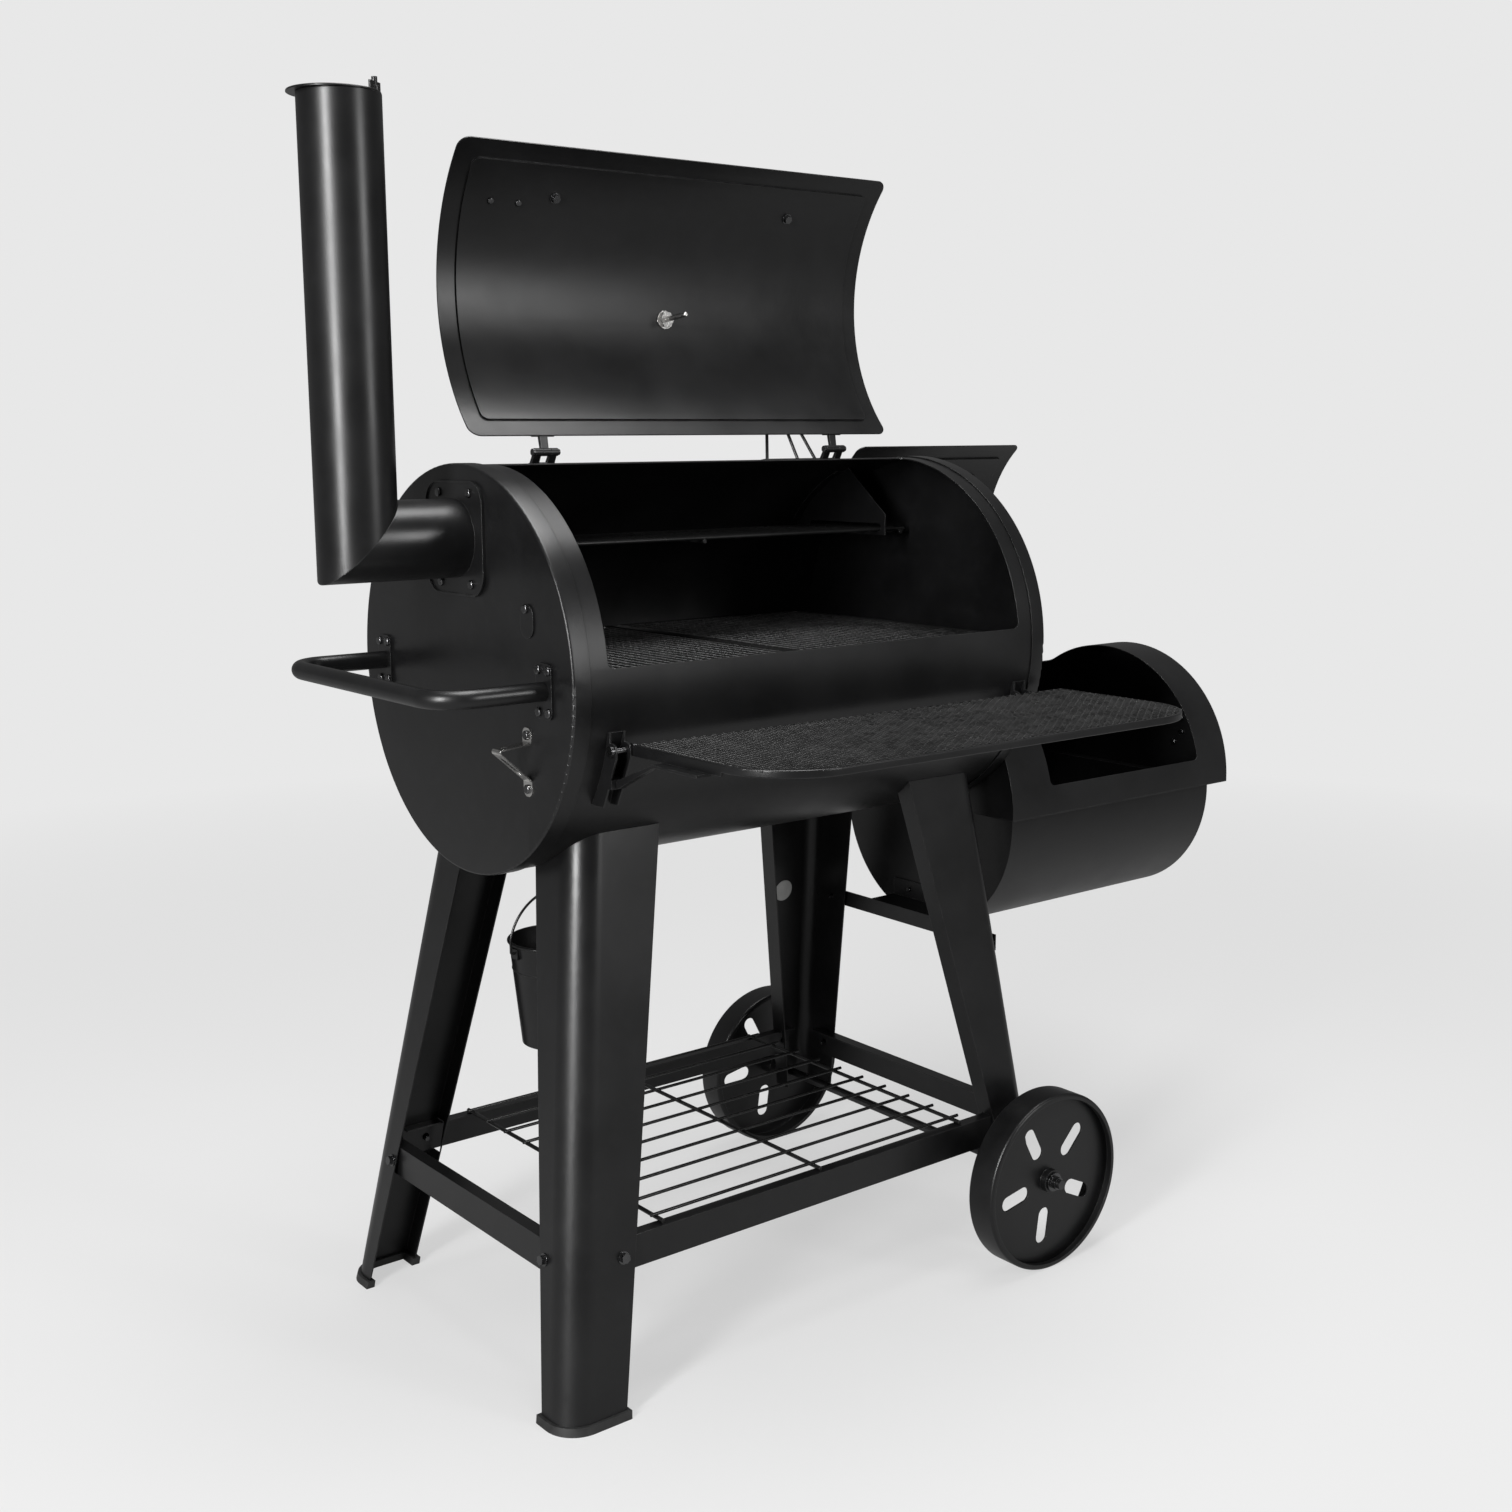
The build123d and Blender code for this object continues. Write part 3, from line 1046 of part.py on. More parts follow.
def wheel_front():
    """A pressed wheel: a rim with rolled edges, a recessed dish with five slots and a hub."""
    face, inner = -WHEEL_FACE, -(WHEEL_FACE - WHEEL_WIDTH)
    rim = cylinder_y(WHEEL_R, face, inner, WHEEL_X, WHEEL_R)
    rim = fillet(rim.edges().filter_by(GeomType.CIRCLE), 4.0)
    rim -= cylinder_y(WHEEL_R - 7, face - 1, inner + 1, WHEEL_X, WHEEL_R)
    pan = cylinder_y(WHEEL_R - WHEEL_WALL, face + 7, inner - 7, WHEEL_X, WHEEL_R)
    rim -= pan - cylinder_y(WHEEL_R - 7.5, face, inner, WHEEL_X, WHEEL_R)
    dish0 = face + DISH_RECESS
    dish = cylinder_y(WHEEL_R - 1, dish0, dish0 + WHEEL_WALL, WHEEL_X, WHEEL_R)
    place = Plane(origin=(WHEEL_X, dish0 - 1, WHEEL_R), x_dir=(1, 0, 0), z_dir=(0, 1, 0))
    for i in range(WHEEL_SLOTS):
        turned = place * Rot(0, 0, -(SLOT_TURN + i * 360 / WHEEL_SLOTS))
        slot = turned * Pos((SLOT_R0 + SLOT_R1) / 2, 0) * SlotOverall(SLOT_R1 - SLOT_R0, SLOT_WIDTH)
        dish -= extrude(slot, amount=WHEEL_WALL + 2, dir=(0, 1, 0))
    hub = cylinder_y(15, face + HUB_RECESS, inner - 2, WHEEL_X, WHEEL_R)
    wheel = rim + dish + hub
    return wheel - cylinder_y(AXLE_R + 0.06, face - 1, inner + 1, WHEEL_X, WHEEL_R)


def wheel_rear():
    return mirror(wheel_front(), about=Plane.XZ)


# ---- bottom wire shelf ----
WIRE_CROSS_X = (111.0, 341.0, 573.0)
WIRE_LONG_X = (103.0, 581.0)
WIRE_LONG_Y = 203.0
LONG_WIRES = 10
WIRE_CROSS_R, WIRE_LONG_R = 2.5, 2.0
WIRE_REACH = 216.0


def bottom_wire_shelf():
    """Long wires welded on cross wires, which lie on the front and rear rails."""
    z = RAIL_Z1 + WIRE_CROSS_R + 0.05
    wires = [rod((x, -WIRE_REACH, z), (x, WIRE_REACH, z), WIRE_CROSS_R) for x in WIRE_CROSS_X]
    x0, x1 = WIRE_LONG_X
    top = z + WIRE_CROSS_R + WIRE_LONG_R - 0.5
    for i in range(LONG_WIRES):
        y = -WIRE_LONG_Y + i * 2 * WIRE_LONG_Y / (LONG_WIRES - 1)
        wires.append(rod((x0, y, top), (x1, y, top), WIRE_LONG_R))
    shelf = wires[0]
    for piece in wires[1:]:
        shelf += piece
    return shelf


# ---- drain and bucket ----
HOOK_R, BAIL_R = 1.6, 1.5
HOOK_Y = 15.0


def drain_nipple():
    """A short pipe through the drum's bottom, its nut and the hook that carries the bucket."""
    bottom = DRUM_Z - DRUM_R
    pipe = cylinder_z(DRAIN_HOLE_R - 0.3, bottom - 22, bottom + 4, BUCKET_X, 0)
    nut = Pos(BUCKET_X, 0, bottom - 8) * extrude(RegularPolygon(14, 6, major_radius=False), 7)
    nipple = pipe + nut
    low = BAIL_TOP - BAIL_R - HOOK_R - GAP
    hook = bent_rod([(BUCKET_X, HOOK_Y, bottom - 5), (BUCKET_X, HOOK_Y, low), (BUCKET_X, -9, low),
                     (BUCKET_X, -9, low + 11)], 4.5, HOOK_R)
    return nipple + hook - cylinder_z(DRAIN_HOLE_R - 2.3, bottom - 30, bottom + 10, BUCKET_X, 0)


def bucket():
    """A small tapered pail with a rolled rim, a bead and two ears."""
    wall = 0.9
    z0, z1 = BUCKET_BOTTOM_Z, BUCKET_RIM_Z
    r0, r1 = BUCKET_BASE_R, BUCKET_RIM_R - 2
    profile = Polyline((0, 0, z0), (r0, 0, z0), (r1, 0, z1), (r1 - wall, 0, z1), (r0 - wall, 0, z0 + wall),
                       (0, 0, z0 + wall), close=True)
    pail = revolve(Face(Wire(profile.edges())), axis=Axis.Z)
    for z, bead in ((z1 - 1, 2.0), (z1 - 34, 1.1)):
        r = r0 + (r1 - r0) * (z - z0) / (z1 - z0) - wall / 2
        pail += Pos(0, 0, z) * Torus(r + (0.5 if bead > 1.5 else 0.0), bead)
    inside = Polyline((0, 0, z0 + wall), (r0 - wall, 0, z0 + wall), (r1 - wall, 0, z1), (r1 - wall, 0, z1 + 9),
                      (0, 0, z1 + 9), close=True)
    pail -= revolve(Face(Wire(inside.edges())), axis=Axis.Z)
    ear_r = r0 + (r1 - r0) * (EAR_Z - z0) / (z1 - z0)
    for side in (-1, 1):
        a, b = sorted((side * (ear_r - 0.5), side * (ear_r + 3)))
        pail += block(a, b, -6, 6, EAR_Z - 7, EAR_Z + 5) - cylinder_x(BAIL_R + 0.1, a - 1, b + 1, 0, EAR_Z)
    return pail.moved(Location((BUCKET_X, 0, 0)))


def bucket_bail():
    """The wire handle, its ends turned in through the bucket's ears."""
    reach = BUCKET_RIM_R + 4.5
    inner = reach - 6.8
    z = EAR_Z
    points = [(BUCKET_X - inner, 0, z), (BUCKET_X - reach, 0, z), (BUCKET_X - reach, 0, z + 16)]
    start = FilletPolyline(*points, radius=2.2)
    arch = ThreePointArc(points[-1], (BUCKET_X, 0, BAIL_TOP), (BUCKET_X + reach, 0, z + 16))
    end = FilletPolyline((BUCKET_X + reach, 0, z + 16), (BUCKET_X + reach, 0, z), (BUCKET_X + inner, 0, z),
                         radius=2.2)
    bail = Pos(*points[-1]) * Sphere(BAIL_R) + Pos(BUCKET_X + reach, 0, z + 16) * Sphere(BAIL_R)
    for path in (start, arch, end):
        bail += swept_rod(path, BAIL_R)
    return bail


# ---- the whole object ----
PIECES = [
    leg_front_left, leg_rear_left, leg_front_right, leg_rear_right, foot_caps, rail_left, rail_right,
    rail_front, rail_rear, stand_bolts, firebox_brace, bottom_wire_shelf, axle, wheel_front, wheel_rear,
    drum_shell, drum_cap_left, drum_cap_right, grate_ledges, cooking_grates, warming_rack,
    warming_rack_brackets, hinge_fixed_leaves, hinge_pins, lid_rest_wires, drain_nipple, bucket, bucket_bail,
    side_handle, side_handle_flanges, cap_screws, probe_cover, bottle_opener, flue_elbow, chimney_pipe,
    chimney_cap, chimney_pivot, main_lid_closed, main_lid_hinge_leaves, main_lid_handle, main_lid_bolts,
    nameplate_blank, thermometer_case, thermometer_dial, thermometer_lens, thermometer_needle,
    thermometer_stem, shelf_frame, shelf_mesh, shelf_brackets, shelf_bolts, firebox_hood, firebox_trough,
    firebox_lid, firebox_lid_hinge_leaves, firebox_lid_handle, fire_grate, damper_disc, damper_knob,
    firebox_bolts,
]

BOX_X = (CHIMNEY_CAP_CENTRE[0] - CHIMNEY_CAP_R, DAMPER_KNOB_END)
BOX_Y = (SHELF_FRONT, AXLE_END)
TO_FRAME = Location((-sum(BOX_X) / 2, -sum(BOX_Y) / 2, 0))

if __name__ == "__main__":
    os.makedirs("parts", exist_ok=True)
    for piece in PIECES:
        name = piece.__name__.removesuffix("_closed")
        shape = opened_main(piece()) if piece is main_lid_closed else piece()
        export_step(shape.moved(TO_FRAME), f"parts/{name}.step")
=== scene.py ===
import json
import math

import bmesh
import bpy
from mathutils import Matrix, Vector
from mathutils.bvhtree import BVHTree


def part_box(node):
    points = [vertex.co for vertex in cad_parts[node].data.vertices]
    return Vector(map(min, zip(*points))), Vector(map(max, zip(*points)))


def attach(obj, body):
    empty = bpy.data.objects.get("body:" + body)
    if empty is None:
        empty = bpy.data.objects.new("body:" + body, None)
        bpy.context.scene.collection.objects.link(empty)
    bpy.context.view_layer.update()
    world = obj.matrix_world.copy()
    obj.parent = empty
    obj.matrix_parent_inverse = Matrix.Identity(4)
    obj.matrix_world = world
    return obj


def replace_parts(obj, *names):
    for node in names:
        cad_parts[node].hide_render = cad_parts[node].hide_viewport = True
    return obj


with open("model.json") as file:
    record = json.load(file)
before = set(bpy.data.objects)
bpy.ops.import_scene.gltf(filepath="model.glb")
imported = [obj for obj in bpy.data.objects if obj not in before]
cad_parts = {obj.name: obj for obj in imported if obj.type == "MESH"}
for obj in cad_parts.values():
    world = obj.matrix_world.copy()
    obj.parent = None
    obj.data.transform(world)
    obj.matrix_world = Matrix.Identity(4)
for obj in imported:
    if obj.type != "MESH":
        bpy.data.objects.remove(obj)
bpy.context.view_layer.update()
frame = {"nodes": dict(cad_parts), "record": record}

MM = 0.001
NODES = frame["nodes"]


# ---- camera ----
CAMERA_PLACE = Vector((-1.47275, -1.680, 1.055))
CAMERA_YAW = math.radians(38.521)      # turned from +Y towards +X
CAMERA_PITCH = math.radians(10.142)    # down
CAMERA_ROLL = math.radians(-0.214)
CAMERA_LENS = 43.17                    # millimetres, on SENSOR_WIDTH
SENSOR_WIDTH = 36
CLIP_NEAR, CLIP_FAR = 0.05, 50


def make_camera():
    sy, cy = math.sin(CAMERA_YAW), math.cos(CAMERA_YAW)
    sp, cp = math.sin(CAMERA_PITCH), math.cos(CAMERA_PITCH)
    ahead = Vector((sy * cp, cy * cp, -sp))
    right = Vector((cy, -sy, 0))
    up = right.cross(ahead)
    sr, cr = math.sin(CAMERA_ROLL), math.cos(CAMERA_ROLL)
    x_axis, y_axis = right * cr + up * sr, up * cr - right * sr
    data = bpy.data.cameras.new("camera")
    data.lens = CAMERA_LENS
    data.sensor_width = SENSOR_WIDTH
    data.clip_start, data.clip_end = CLIP_NEAR, CLIP_FAR
    camera = bpy.data.objects.new("camera", data)
    turn = Matrix((x_axis, y_axis, -ahead)).transposed()
    camera.matrix_world = Matrix.Translation(CAMERA_PLACE) @ turn.to_4x4()
    bpy.context.scene.collection.objects.link(camera)
    bpy.context.scene.camera = camera


# ---- materials ----
BEVEL_SAMPLES = 4
NOISE_LOW, NOISE_HIGH = 0.3, 0.7       # the part of a noise's range that holds most of its values
EDGE_TURN = (0.90, 0.995)              # normal agreement at a fully worn edge, and on a face
EDGE_ROUND = 0.0008                    # metres, the softened edge that a bump lies over
PAINT_EDGE = 0.0012                    # metres, how far wear reaches in from an edge
PEEL, CLOUD, DUST = 1100, 9, 60        # noise scales of the paint
DRAWN, STAIN = 700, 40                 # noise scales of steel
HANDLING = 90
SMUDGE = 70
WORN_PAINT = (0.07, 0.07, 0.07)
DUST_LIFT = 2.2                        # how much paler dust is than the light paint
STAIN_SHARE = 0.72                     # how bright a stain leaves the steel
PEEL_DEPTH, CLOUD_DEPTH, DRAWN_DEPTH = 0.00006, 0.0004, 0.00003
STEEL_ROUND, MOULDED_ROUND = 0.0004, 0.0005


class Shader:
    """A Principled material with its noise, ramp, bump and worn-edge nodes."""

    def __init__(self, name, metallic=0.0, **constants):
        self.material = bpy.data.materials.new(name)
        self.material.use_nodes = True
        self.tree = self.material.node_tree
        self.surface = self.tree.nodes["Principled BSDF"]
        self.surface.inputs["Metallic"].default_value = metallic
        for socket, value in constants.items():
            self.surface.inputs[socket.replace("_", " ")].default_value = value
        self.place = self.node("ShaderNodeTexCoord").outputs["Object"]

    def node(self, kind, **settings):
        made = self.tree.nodes.new(kind)
        for key, value in settings.items():
            setattr(made, key, value)
        return made

    def link(self, output, target):
        self.tree.links.new(output, target)

    def noise(self, scale, detail=3.0, stretch=(1, 1, 1)):
        mapping = self.node("ShaderNodeMapping")
        mapping.inputs["Scale"].default_value = stretch
        self.link(self.place, mapping.inputs["Vector"])
        made = self.node("ShaderNodeTexNoise")
        made.inputs["Scale"].default_value = scale
        made.inputs["Detail"].default_value = detail
        self.link(mapping.outputs["Vector"], made.inputs["Vector"])
        return made.outputs["Fac"]

    def spread(self, value, low, high, start=NOISE_LOW, end=NOISE_HIGH):
        made = self.node("ShaderNodeMapRange")
        for socket, number in zip(("From Min", "From Max", "To Min", "To Max"),
                                  (start, end, low, high)):
            made.inputs[socket].default_value = number
        self.link(value, made.inputs["Value"])
        return made.outputs["Result"]

    def mix(self, factor, first, second):
        made = self.node("ShaderNodeMix", data_type="RGBA")
        self.link(factor, made.inputs["Factor"])
        for socket, colour in ((made.inputs[6], first), (made.inputs[7], second)):
            if isinstance(colour, tuple):
                socket.default_value = (*colour, 1)
            else:
                self.link(colour, socket)
        return made.outputs[2]

    def roughness(self, value, low, high):
        self.link(self.spread(value, low, high), self.surface.inputs["Roughness"])

    def worn(self, radius):
        """1 at an outer edge and 0 on a face, from how far a rounded normal turns."""
        rounded = self.node("ShaderNodeBevel", samples=BEVEL_SAMPLES)
        rounded.inputs["Radius"].default_value = radius
        true = self.node("ShaderNodeNewGeometry")
        dot = self.node("ShaderNodeVectorMath", operation="DOT_PRODUCT")
        self.link(rounded.outputs["Normal"], dot.inputs[0])
        self.link(true.outputs["Normal"], dot.inputs[1])
        return self.spread(dot.outputs["Value"], 1.0, 0.0, *EDGE_TURN)

    def bump(self, heights, radius=EDGE_ROUND):
        """heights are (output, depth in metres), laid over softly rounded edges."""
        rounded = self.node("ShaderNodeBevel", samples=BEVEL_SAMPLES)
        rounded.inputs["Radius"].default_value = radius
        normal = rounded.outputs["Normal"]
        for height, depth in heights:
            made = self.node("ShaderNodeBump")
            made.inputs["Strength"].default_value = 1.0
            made.inputs["Distance"].default_value = depth
            self.link(height, made.inputs["Height"])
            self.link(normal, made.inputs["Normal"])
            normal = made.outputs["Normal"]
        self.link(normal, self.surface.inputs["Normal"])


def powder_coat(name, dark, light, rough, wear=0.35):
    """Baked satin black: fine orange peel, patchy sheen, dust and lighter worn edges."""
    s = Shader(name, Specular_IOR_Level=0.5)
    peel, cloud, dust = s.noise(PEEL, 2), s.noise(CLOUD, 4), s.noise(DUST, 6)
    base = s.mix(s.spread(cloud, 0, 1), dark, light)
    dusty = s.mix(s.spread(dust, 0, 0.25, 0.5, 0.8), base, tuple(c * DUST_LIFT for c in light))
    edge = s.node("ShaderNodeMath", operation="MULTIPLY")
    s.link(s.worn(PAINT_EDGE), edge.inputs[0])
    s.link(s.spread(dust, 0, wear, 0.35, 0.6), edge.inputs[1])
    s.link(s.mix(edge.outputs["Value"], dusty, WORN_PAINT), s.surface.inputs["Base Color"])
    s.roughness(cloud, rough - 0.05, rough + 0.07)
    s.bump([(cloud, CLOUD_DEPTH), (peel, PEEL_DEPTH)])
    return s.material


def steel(name, colour, rough, stretch=(1, 1, 1)):
    """Bare or plated steel with drawn scratches and faint stains."""
    s = Shader(name, metallic=1.0)
    lines, stain = s.noise(DRAWN, 3, stretch), s.noise(STAIN, 4)
    s.link(s.mix(s.spread(stain, 0, 1), colour, tuple(c * STAIN_SHARE for c in colour)),
           s.surface.inputs["Base Color"])
    s.roughness(lines, rough - 0.07, rough + 0.12)
    s.bump([(lines, DRAWN_DEPTH)], STEEL_ROUND)
    return s.material


def moulded(name, dark, light, rough, depth, scale):
    """Plastic, enamel or vinyl: an even colour with grain and handling marks."""
    s = Shader(name)
    grain, marks = s.noise(scale, 3), s.noise(HANDLING, 5)
    s.link(s.mix(s.spread(marks, 0, 1), dark, light), s.surface.inputs["Base Color"])
    s.roughness(marks, rough - 0.06, rough + 0.08)
    s.bump([(grain, depth)], MOULDED_ROUND)
    return s.material


def clear_glass():
    """Lens glass with smudges, which change its tint and its roughness."""
    s = Shader("lens_glass", Transmission_Weight=1.0, IOR=1.46)
    smudge = s.noise(SMUDGE, 4)
    s.link(s.mix(smudge, (0.93, 0.95, 0.95), (0.98, 0.99, 0.99)), s.surface.inputs["Base Color"])
    s.roughness(smudge, 0.02, 0.09)
    return s.material


FINISH = {
    "black_paint": powder_coat("satin_powder_coat", (0.0032, 0.0032, 0.0034),
                               (0.0055, 0.0055, 0.0058), 0.33),
    "grate_steel": powder_coat("black_wire_coat", (0.006, 0.006, 0.006), (0.012, 0.012, 0.012),
                               0.24, 0.6),
    "zinc_steel": steel("zinc_plate", (0.11, 0.11, 0.112), 0.34),
    "black_steel": steel("blackened_steel", (0.15, 0.15, 0.153), 0.24),
    "stainless": steel("brushed_stainless", (0.82, 0.81, 0.79), 0.2, (1, 14, 14)),
    "bezel_steel": steel("polished_bezel", (0.66, 0.66, 0.66), 0.16),
    "dial_white": moulded("dial_enamel", (0.74, 0.73, 0.68), (0.8, 0.79, 0.75), 0.42, 0.00001, 900),
    "needle_red": moulded("needle_paint", (0.5, 0.03, 0.02), (0.6, 0.05, 0.03), 0.4, 0.00001, 900),
    "glass": clear_glass(),
    "foot_plastic": moulded("foot_plastic", (0.014, 0.014, 0.014), (0.024, 0.024, 0.024),
                            0.52, 0.00008, 1400),
}
BADGE = moulded("blank_sticker", (0.5, 0.5, 0.49), (0.58, 0.58, 0.57), 0.5, 0.00002, 1200)
PRINT = moulded("dial_print", (0.012, 0.012, 0.012), (0.03, 0.03, 0.03), 0.5, 0.00001, 900)


# ---- CAD nodes ----
WELD = 0.00001                         # metres
SHARP_EDGE = math.radians(28)


def smooth_group():
    """Welds a node's split corners and shades it smooth, but for edges sharper than SHARP_EDGE."""
    group = bpy.data.node_groups.new("smooth_by_angle", "GeometryNodeTree")
    group.interface.new_socket("Geometry", in_out="INPUT", socket_type="NodeSocketGeometry")
    group.interface.new_socket("Geometry", in_out="OUTPUT", socket_type="NodeSocketGeometry")
    made = {kind: group.nodes.new(kind) for kind in (
        "NodeGroupInput", "NodeGroupOutput", "GeometryNodeMergeByDistance",
        "GeometryNodeInputMeshEdgeAngle", "FunctionNodeCompare")}
    faces = group.nodes.new("GeometryNodeSetShadeSmooth")
    edges = group.nodes.new("GeometryNodeSetShadeSmooth")
    edges.domain = "EDGE"
    edges.inputs["Shade Smooth"].default_value = False
    made["GeometryNodeMergeByDistance"].inputs["Distance"].default_value = WELD
    compare = made["FunctionNodeCompare"]
    compare.operation = "GREATER_THAN"
    compare.inputs[1].default_value = SHARP_EDGE
    link = group.links.new
    link(made["NodeGroupInput"].outputs[0], made["GeometryNodeMergeByDistance"].inputs["Geometry"])
    link(made["GeometryNodeMergeByDistance"].outputs["Geometry"], faces.inputs["Geometry"])
    link(faces.outputs["Geometry"], edges.inputs["Geometry"])
    link(made["GeometryNodeInputMeshEdgeAngle"].outputs["Unsigned Angle"], compare.inputs[0])
    link(compare.outputs["Result"], edges.inputs["Selection"])
    link(edges.outputs["Geometry"], made["NodeGroupOutput"].inputs[0])
    return group


def finish_cad_nodes():
    group = smooth_group()
    slots = {part["node"]: part["material_slot"] for part in frame["record"]["subparts"]}
    for name, node in NODES.items():
        node.data.materials.clear()
        node.data.materials.append(FINISH[slots[name]])
        node.modifiers.new("smooth", "NODES").node_group = group


# ---- new pieces ----
DRILL_ABOVE, DRILL_REACH = 0.01, 0.03  # metres, how a sheet's outline is felt from above
JOIN = 0.00005                         # metres, strands that end this close share a point

# openings: the long way, the short way, the strand's width, its twist and its thickness
SHELF_OPENING = (13 * MM, 9.5 * MM, 1.3 * MM, 2.0 * MM)
SHELF_THICKNESS = 1.0 * MM
GRATE_OPENING = (26 * MM, 13 * MM, 1.5 * MM, 1.4 * MM)
GRATE_THICKNESS = 1.4 * MM
GRATE_ROD_R = 3 * MM
GRATE_CORNER = 12 * MM
GRATE_GAP = 1 * MM                     # from the middle to each of the two grates

BADGE_START = Vector((0.126, 0.20, 0.409))
BADGE_SEARCH = 0.3                     # metres
BADGE_R, BADGE_THICKNESS = 15.5, 0.4   # millimetres
BADGE_GAP = 0.05                       # millimetres
RIM_SHARE = 0.4                        # of a disc's thickness


def add_piece(name, mesh, material, body):
    piece = bpy.data.objects.new(name, mesh)
    mesh.materials.append(material)
    bpy.context.scene.collection.objects.link(piece)
    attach(piece, body)
    return piece


def surface_tree(name):
    mesh = NODES[name].data
    return BVHTree.FromPolygons([v.co for v in mesh.vertices], [p.vertices for p in mesh.polygons])


def expanded_sheet(tree, low, high, long_way, short_way, strand, twist):
    """Diamond openings between twisted strands, cut off square at the sheet's four sides."""
    bm = bmesh.new()
    half_long, half_short = long_way / 2, short_way / 2
    level = (low.z + high.z) / 2
    shrink = 1 - strand / half_short
    for row in range(int((high.y - low.y) / half_short) + 2):
        for column in range(int((high.x - low.x) / long_way) + 2):
            x = low.x + (column + (row % 2) / 2) * long_way
            y = low.y + row * half_short
            above = Vector((x, y, high.z + DRILL_ABOVE))
            if tree.ray_cast(above, Vector((0, 0, -1)), DRILL_REACH)[0] is None:
                continue
            corners = ((half_long, 0, 0), (0, half_short, twist),
                       (-half_long, 0, 0), (0, -half_short, -twist))
            outer = [bm.verts.new((x + dx, y + dy, level)) for dx, dy, lift in corners]
            inner = [bm.verts.new((x + dx * shrink, y + dy * shrink, level + lift))
                     for dx, dy, lift in corners]
            for i in range(4):
                j = (i + 1) % 4
                bm.faces.new((outer[i], outer[j], inner[j], inner[i]))
    bmesh.ops.remove_doubles(bm, verts=bm.verts, dist=JOIN)
    for point, normal in ((low, (-1, 0, 0)), (low, (0, -1, 0)), (high, (1, 0, 0)), (high, (0, 1, 0))):
        bmesh.ops.bisect_plane(bm, geom=bm.verts[:] + bm.edges[:] + bm.faces[:], plane_co=point,
                               plane_no=normal, clear_outer=True)
    bmesh.ops.recalc_face_normals(bm, faces=bm.faces)
    return bm


def thicken(piece, thickness):
    solid = piece.modifiers.new("thickness", "SOLIDIFY")
    solid.thickness = thickness
    solid.offset = 0
    return piece


def as_mesh(bm, name):
    mesh = bpy.data.meshes.new(name)
    bm.to_mesh(mesh)
    bm.free()
    return mesh


def ring_rod(bm, low, high, corner, radius, level, sides=10, steps=6):
    """A round rod bent into a rectangle with round corners."""
    path = []
    for quarter, (x, y) in enumerate(((high.x, high.y), (low.x, high.y),
                                      (low.x, low.y), (high.x, low.y))):
        cx = x + (-corner if x == high.x else corner)
        cy = y + (-corner if y == high.y else corner)
        for i in range(steps + 1):
            angle = math.radians(90 * (quarter + i / steps))
            path.append((cx, cy, corner, angle))
    rings = []
    for cx, cy, reach, angle in path:
        ring = []
        for i in range(sides):
            around = 2 * math.pi * i / sides
            out = reach + radius * math.cos(around)
            ring.append(bm.verts.new((cx + out * math.cos(angle), cy + out * math.sin(angle),
                                      level + radius * math.sin(around))))
        rings.append(ring)
    for first, second in zip(rings, rings[1:] + rings[:1]):
        for i in range(sides):
            j = (i + 1) % sides
            face = bm.faces.new((first[i], second[i], second[j], first[j]))
            face.smooth = True


def make_shelf_mesh():
    low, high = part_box("shelf_mesh")
    bm = expanded_sheet(surface_tree("shelf_mesh"), low, high, *SHELF_OPENING)
    piece = add_piece("shelf_expanded_mesh", as_mesh(bm, "shelf_expanded_mesh"),
                      FINISH["grate_steel"], "shelf")
    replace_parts(thicken(piece, SHELF_THICKNESS), "shelf_mesh")


def make_cooking_grates():
    low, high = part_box("cooking_grates")
    rod_r, middle = GRATE_ROD_R, (low.x + high.x) / 2
    level = (low.z + high.z) / 2
    tree = surface_tree("cooking_grates")
    halves = (("left", low.x, middle - GRATE_GAP), ("right", middle + GRATE_GAP, high.x))
    sheets = []
    for side, x0, x1 in halves:
        a = Vector((x0 + rod_r, low.y + rod_r, level))
        b = Vector((x1 - rod_r, high.y - rod_r, level))
        bm = expanded_sheet(tree, a, b, *GRATE_OPENING)
        name = "cooking_mesh_" + side
        sheets.append(thicken(add_piece(name, as_mesh(bm, name), FINISH["grate_steel"], "root"), GRATE_THICKNESS))
        frame_bm = bmesh.new()
        ring_rod(frame_bm, a, b, GRATE_CORNER, rod_r, level)
        add_piece("cooking_frame_" + side, as_mesh(frame_bm, "cooking_frame_" + side),
                  FINISH["grate_steel"], "root")
    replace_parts(sheets[0], "cooking_grates")


def disc(bm, matrix, radius, thickness, sides=48):
    """A flat disc with a rounded rim, lying on the matrix's XY plane."""
    rim = thickness * RIM_SHARE
    levels = ((radius, 0), (radius, thickness - rim), (radius - rim, thickness))
    rings = [[bm.verts.new(matrix @ Vector((r * math.cos(2 * math.pi * i / sides),
                                            r * math.sin(2 * math.pi * i / sides), h)))
              for i in range(sides)] for r, h in levels]
    for first, second in zip(rings, rings[1:]):
        for i in range(sides):
            j = (i + 1) % sides
            bm.faces.new((first[i], first[j], second[j], second[i]))
    bm.faces.new(rings[-1])
    bm.faces.new(rings[0][::-1])


def make_badge():
    leg = surface_tree("leg_rear_right")
    hit, normal = leg.ray_cast(BADGE_START, Vector((0, 1, 0)), BADGE_SEARCH)[:2]
    if normal.y > 0:
        normal = -normal
    turn = normal.to_track_quat("Z", "Y").to_matrix().to_4x4()
    place = Matrix.Translation(hit + normal * BADGE_GAP * MM) @ turn
    bm = bmesh.new()
    disc(bm, place, BADGE_R * MM, BADGE_THICKNESS * MM)
    add_piece("blank_badge", as_mesh(bm, "blank_badge"), BADGE, "root")


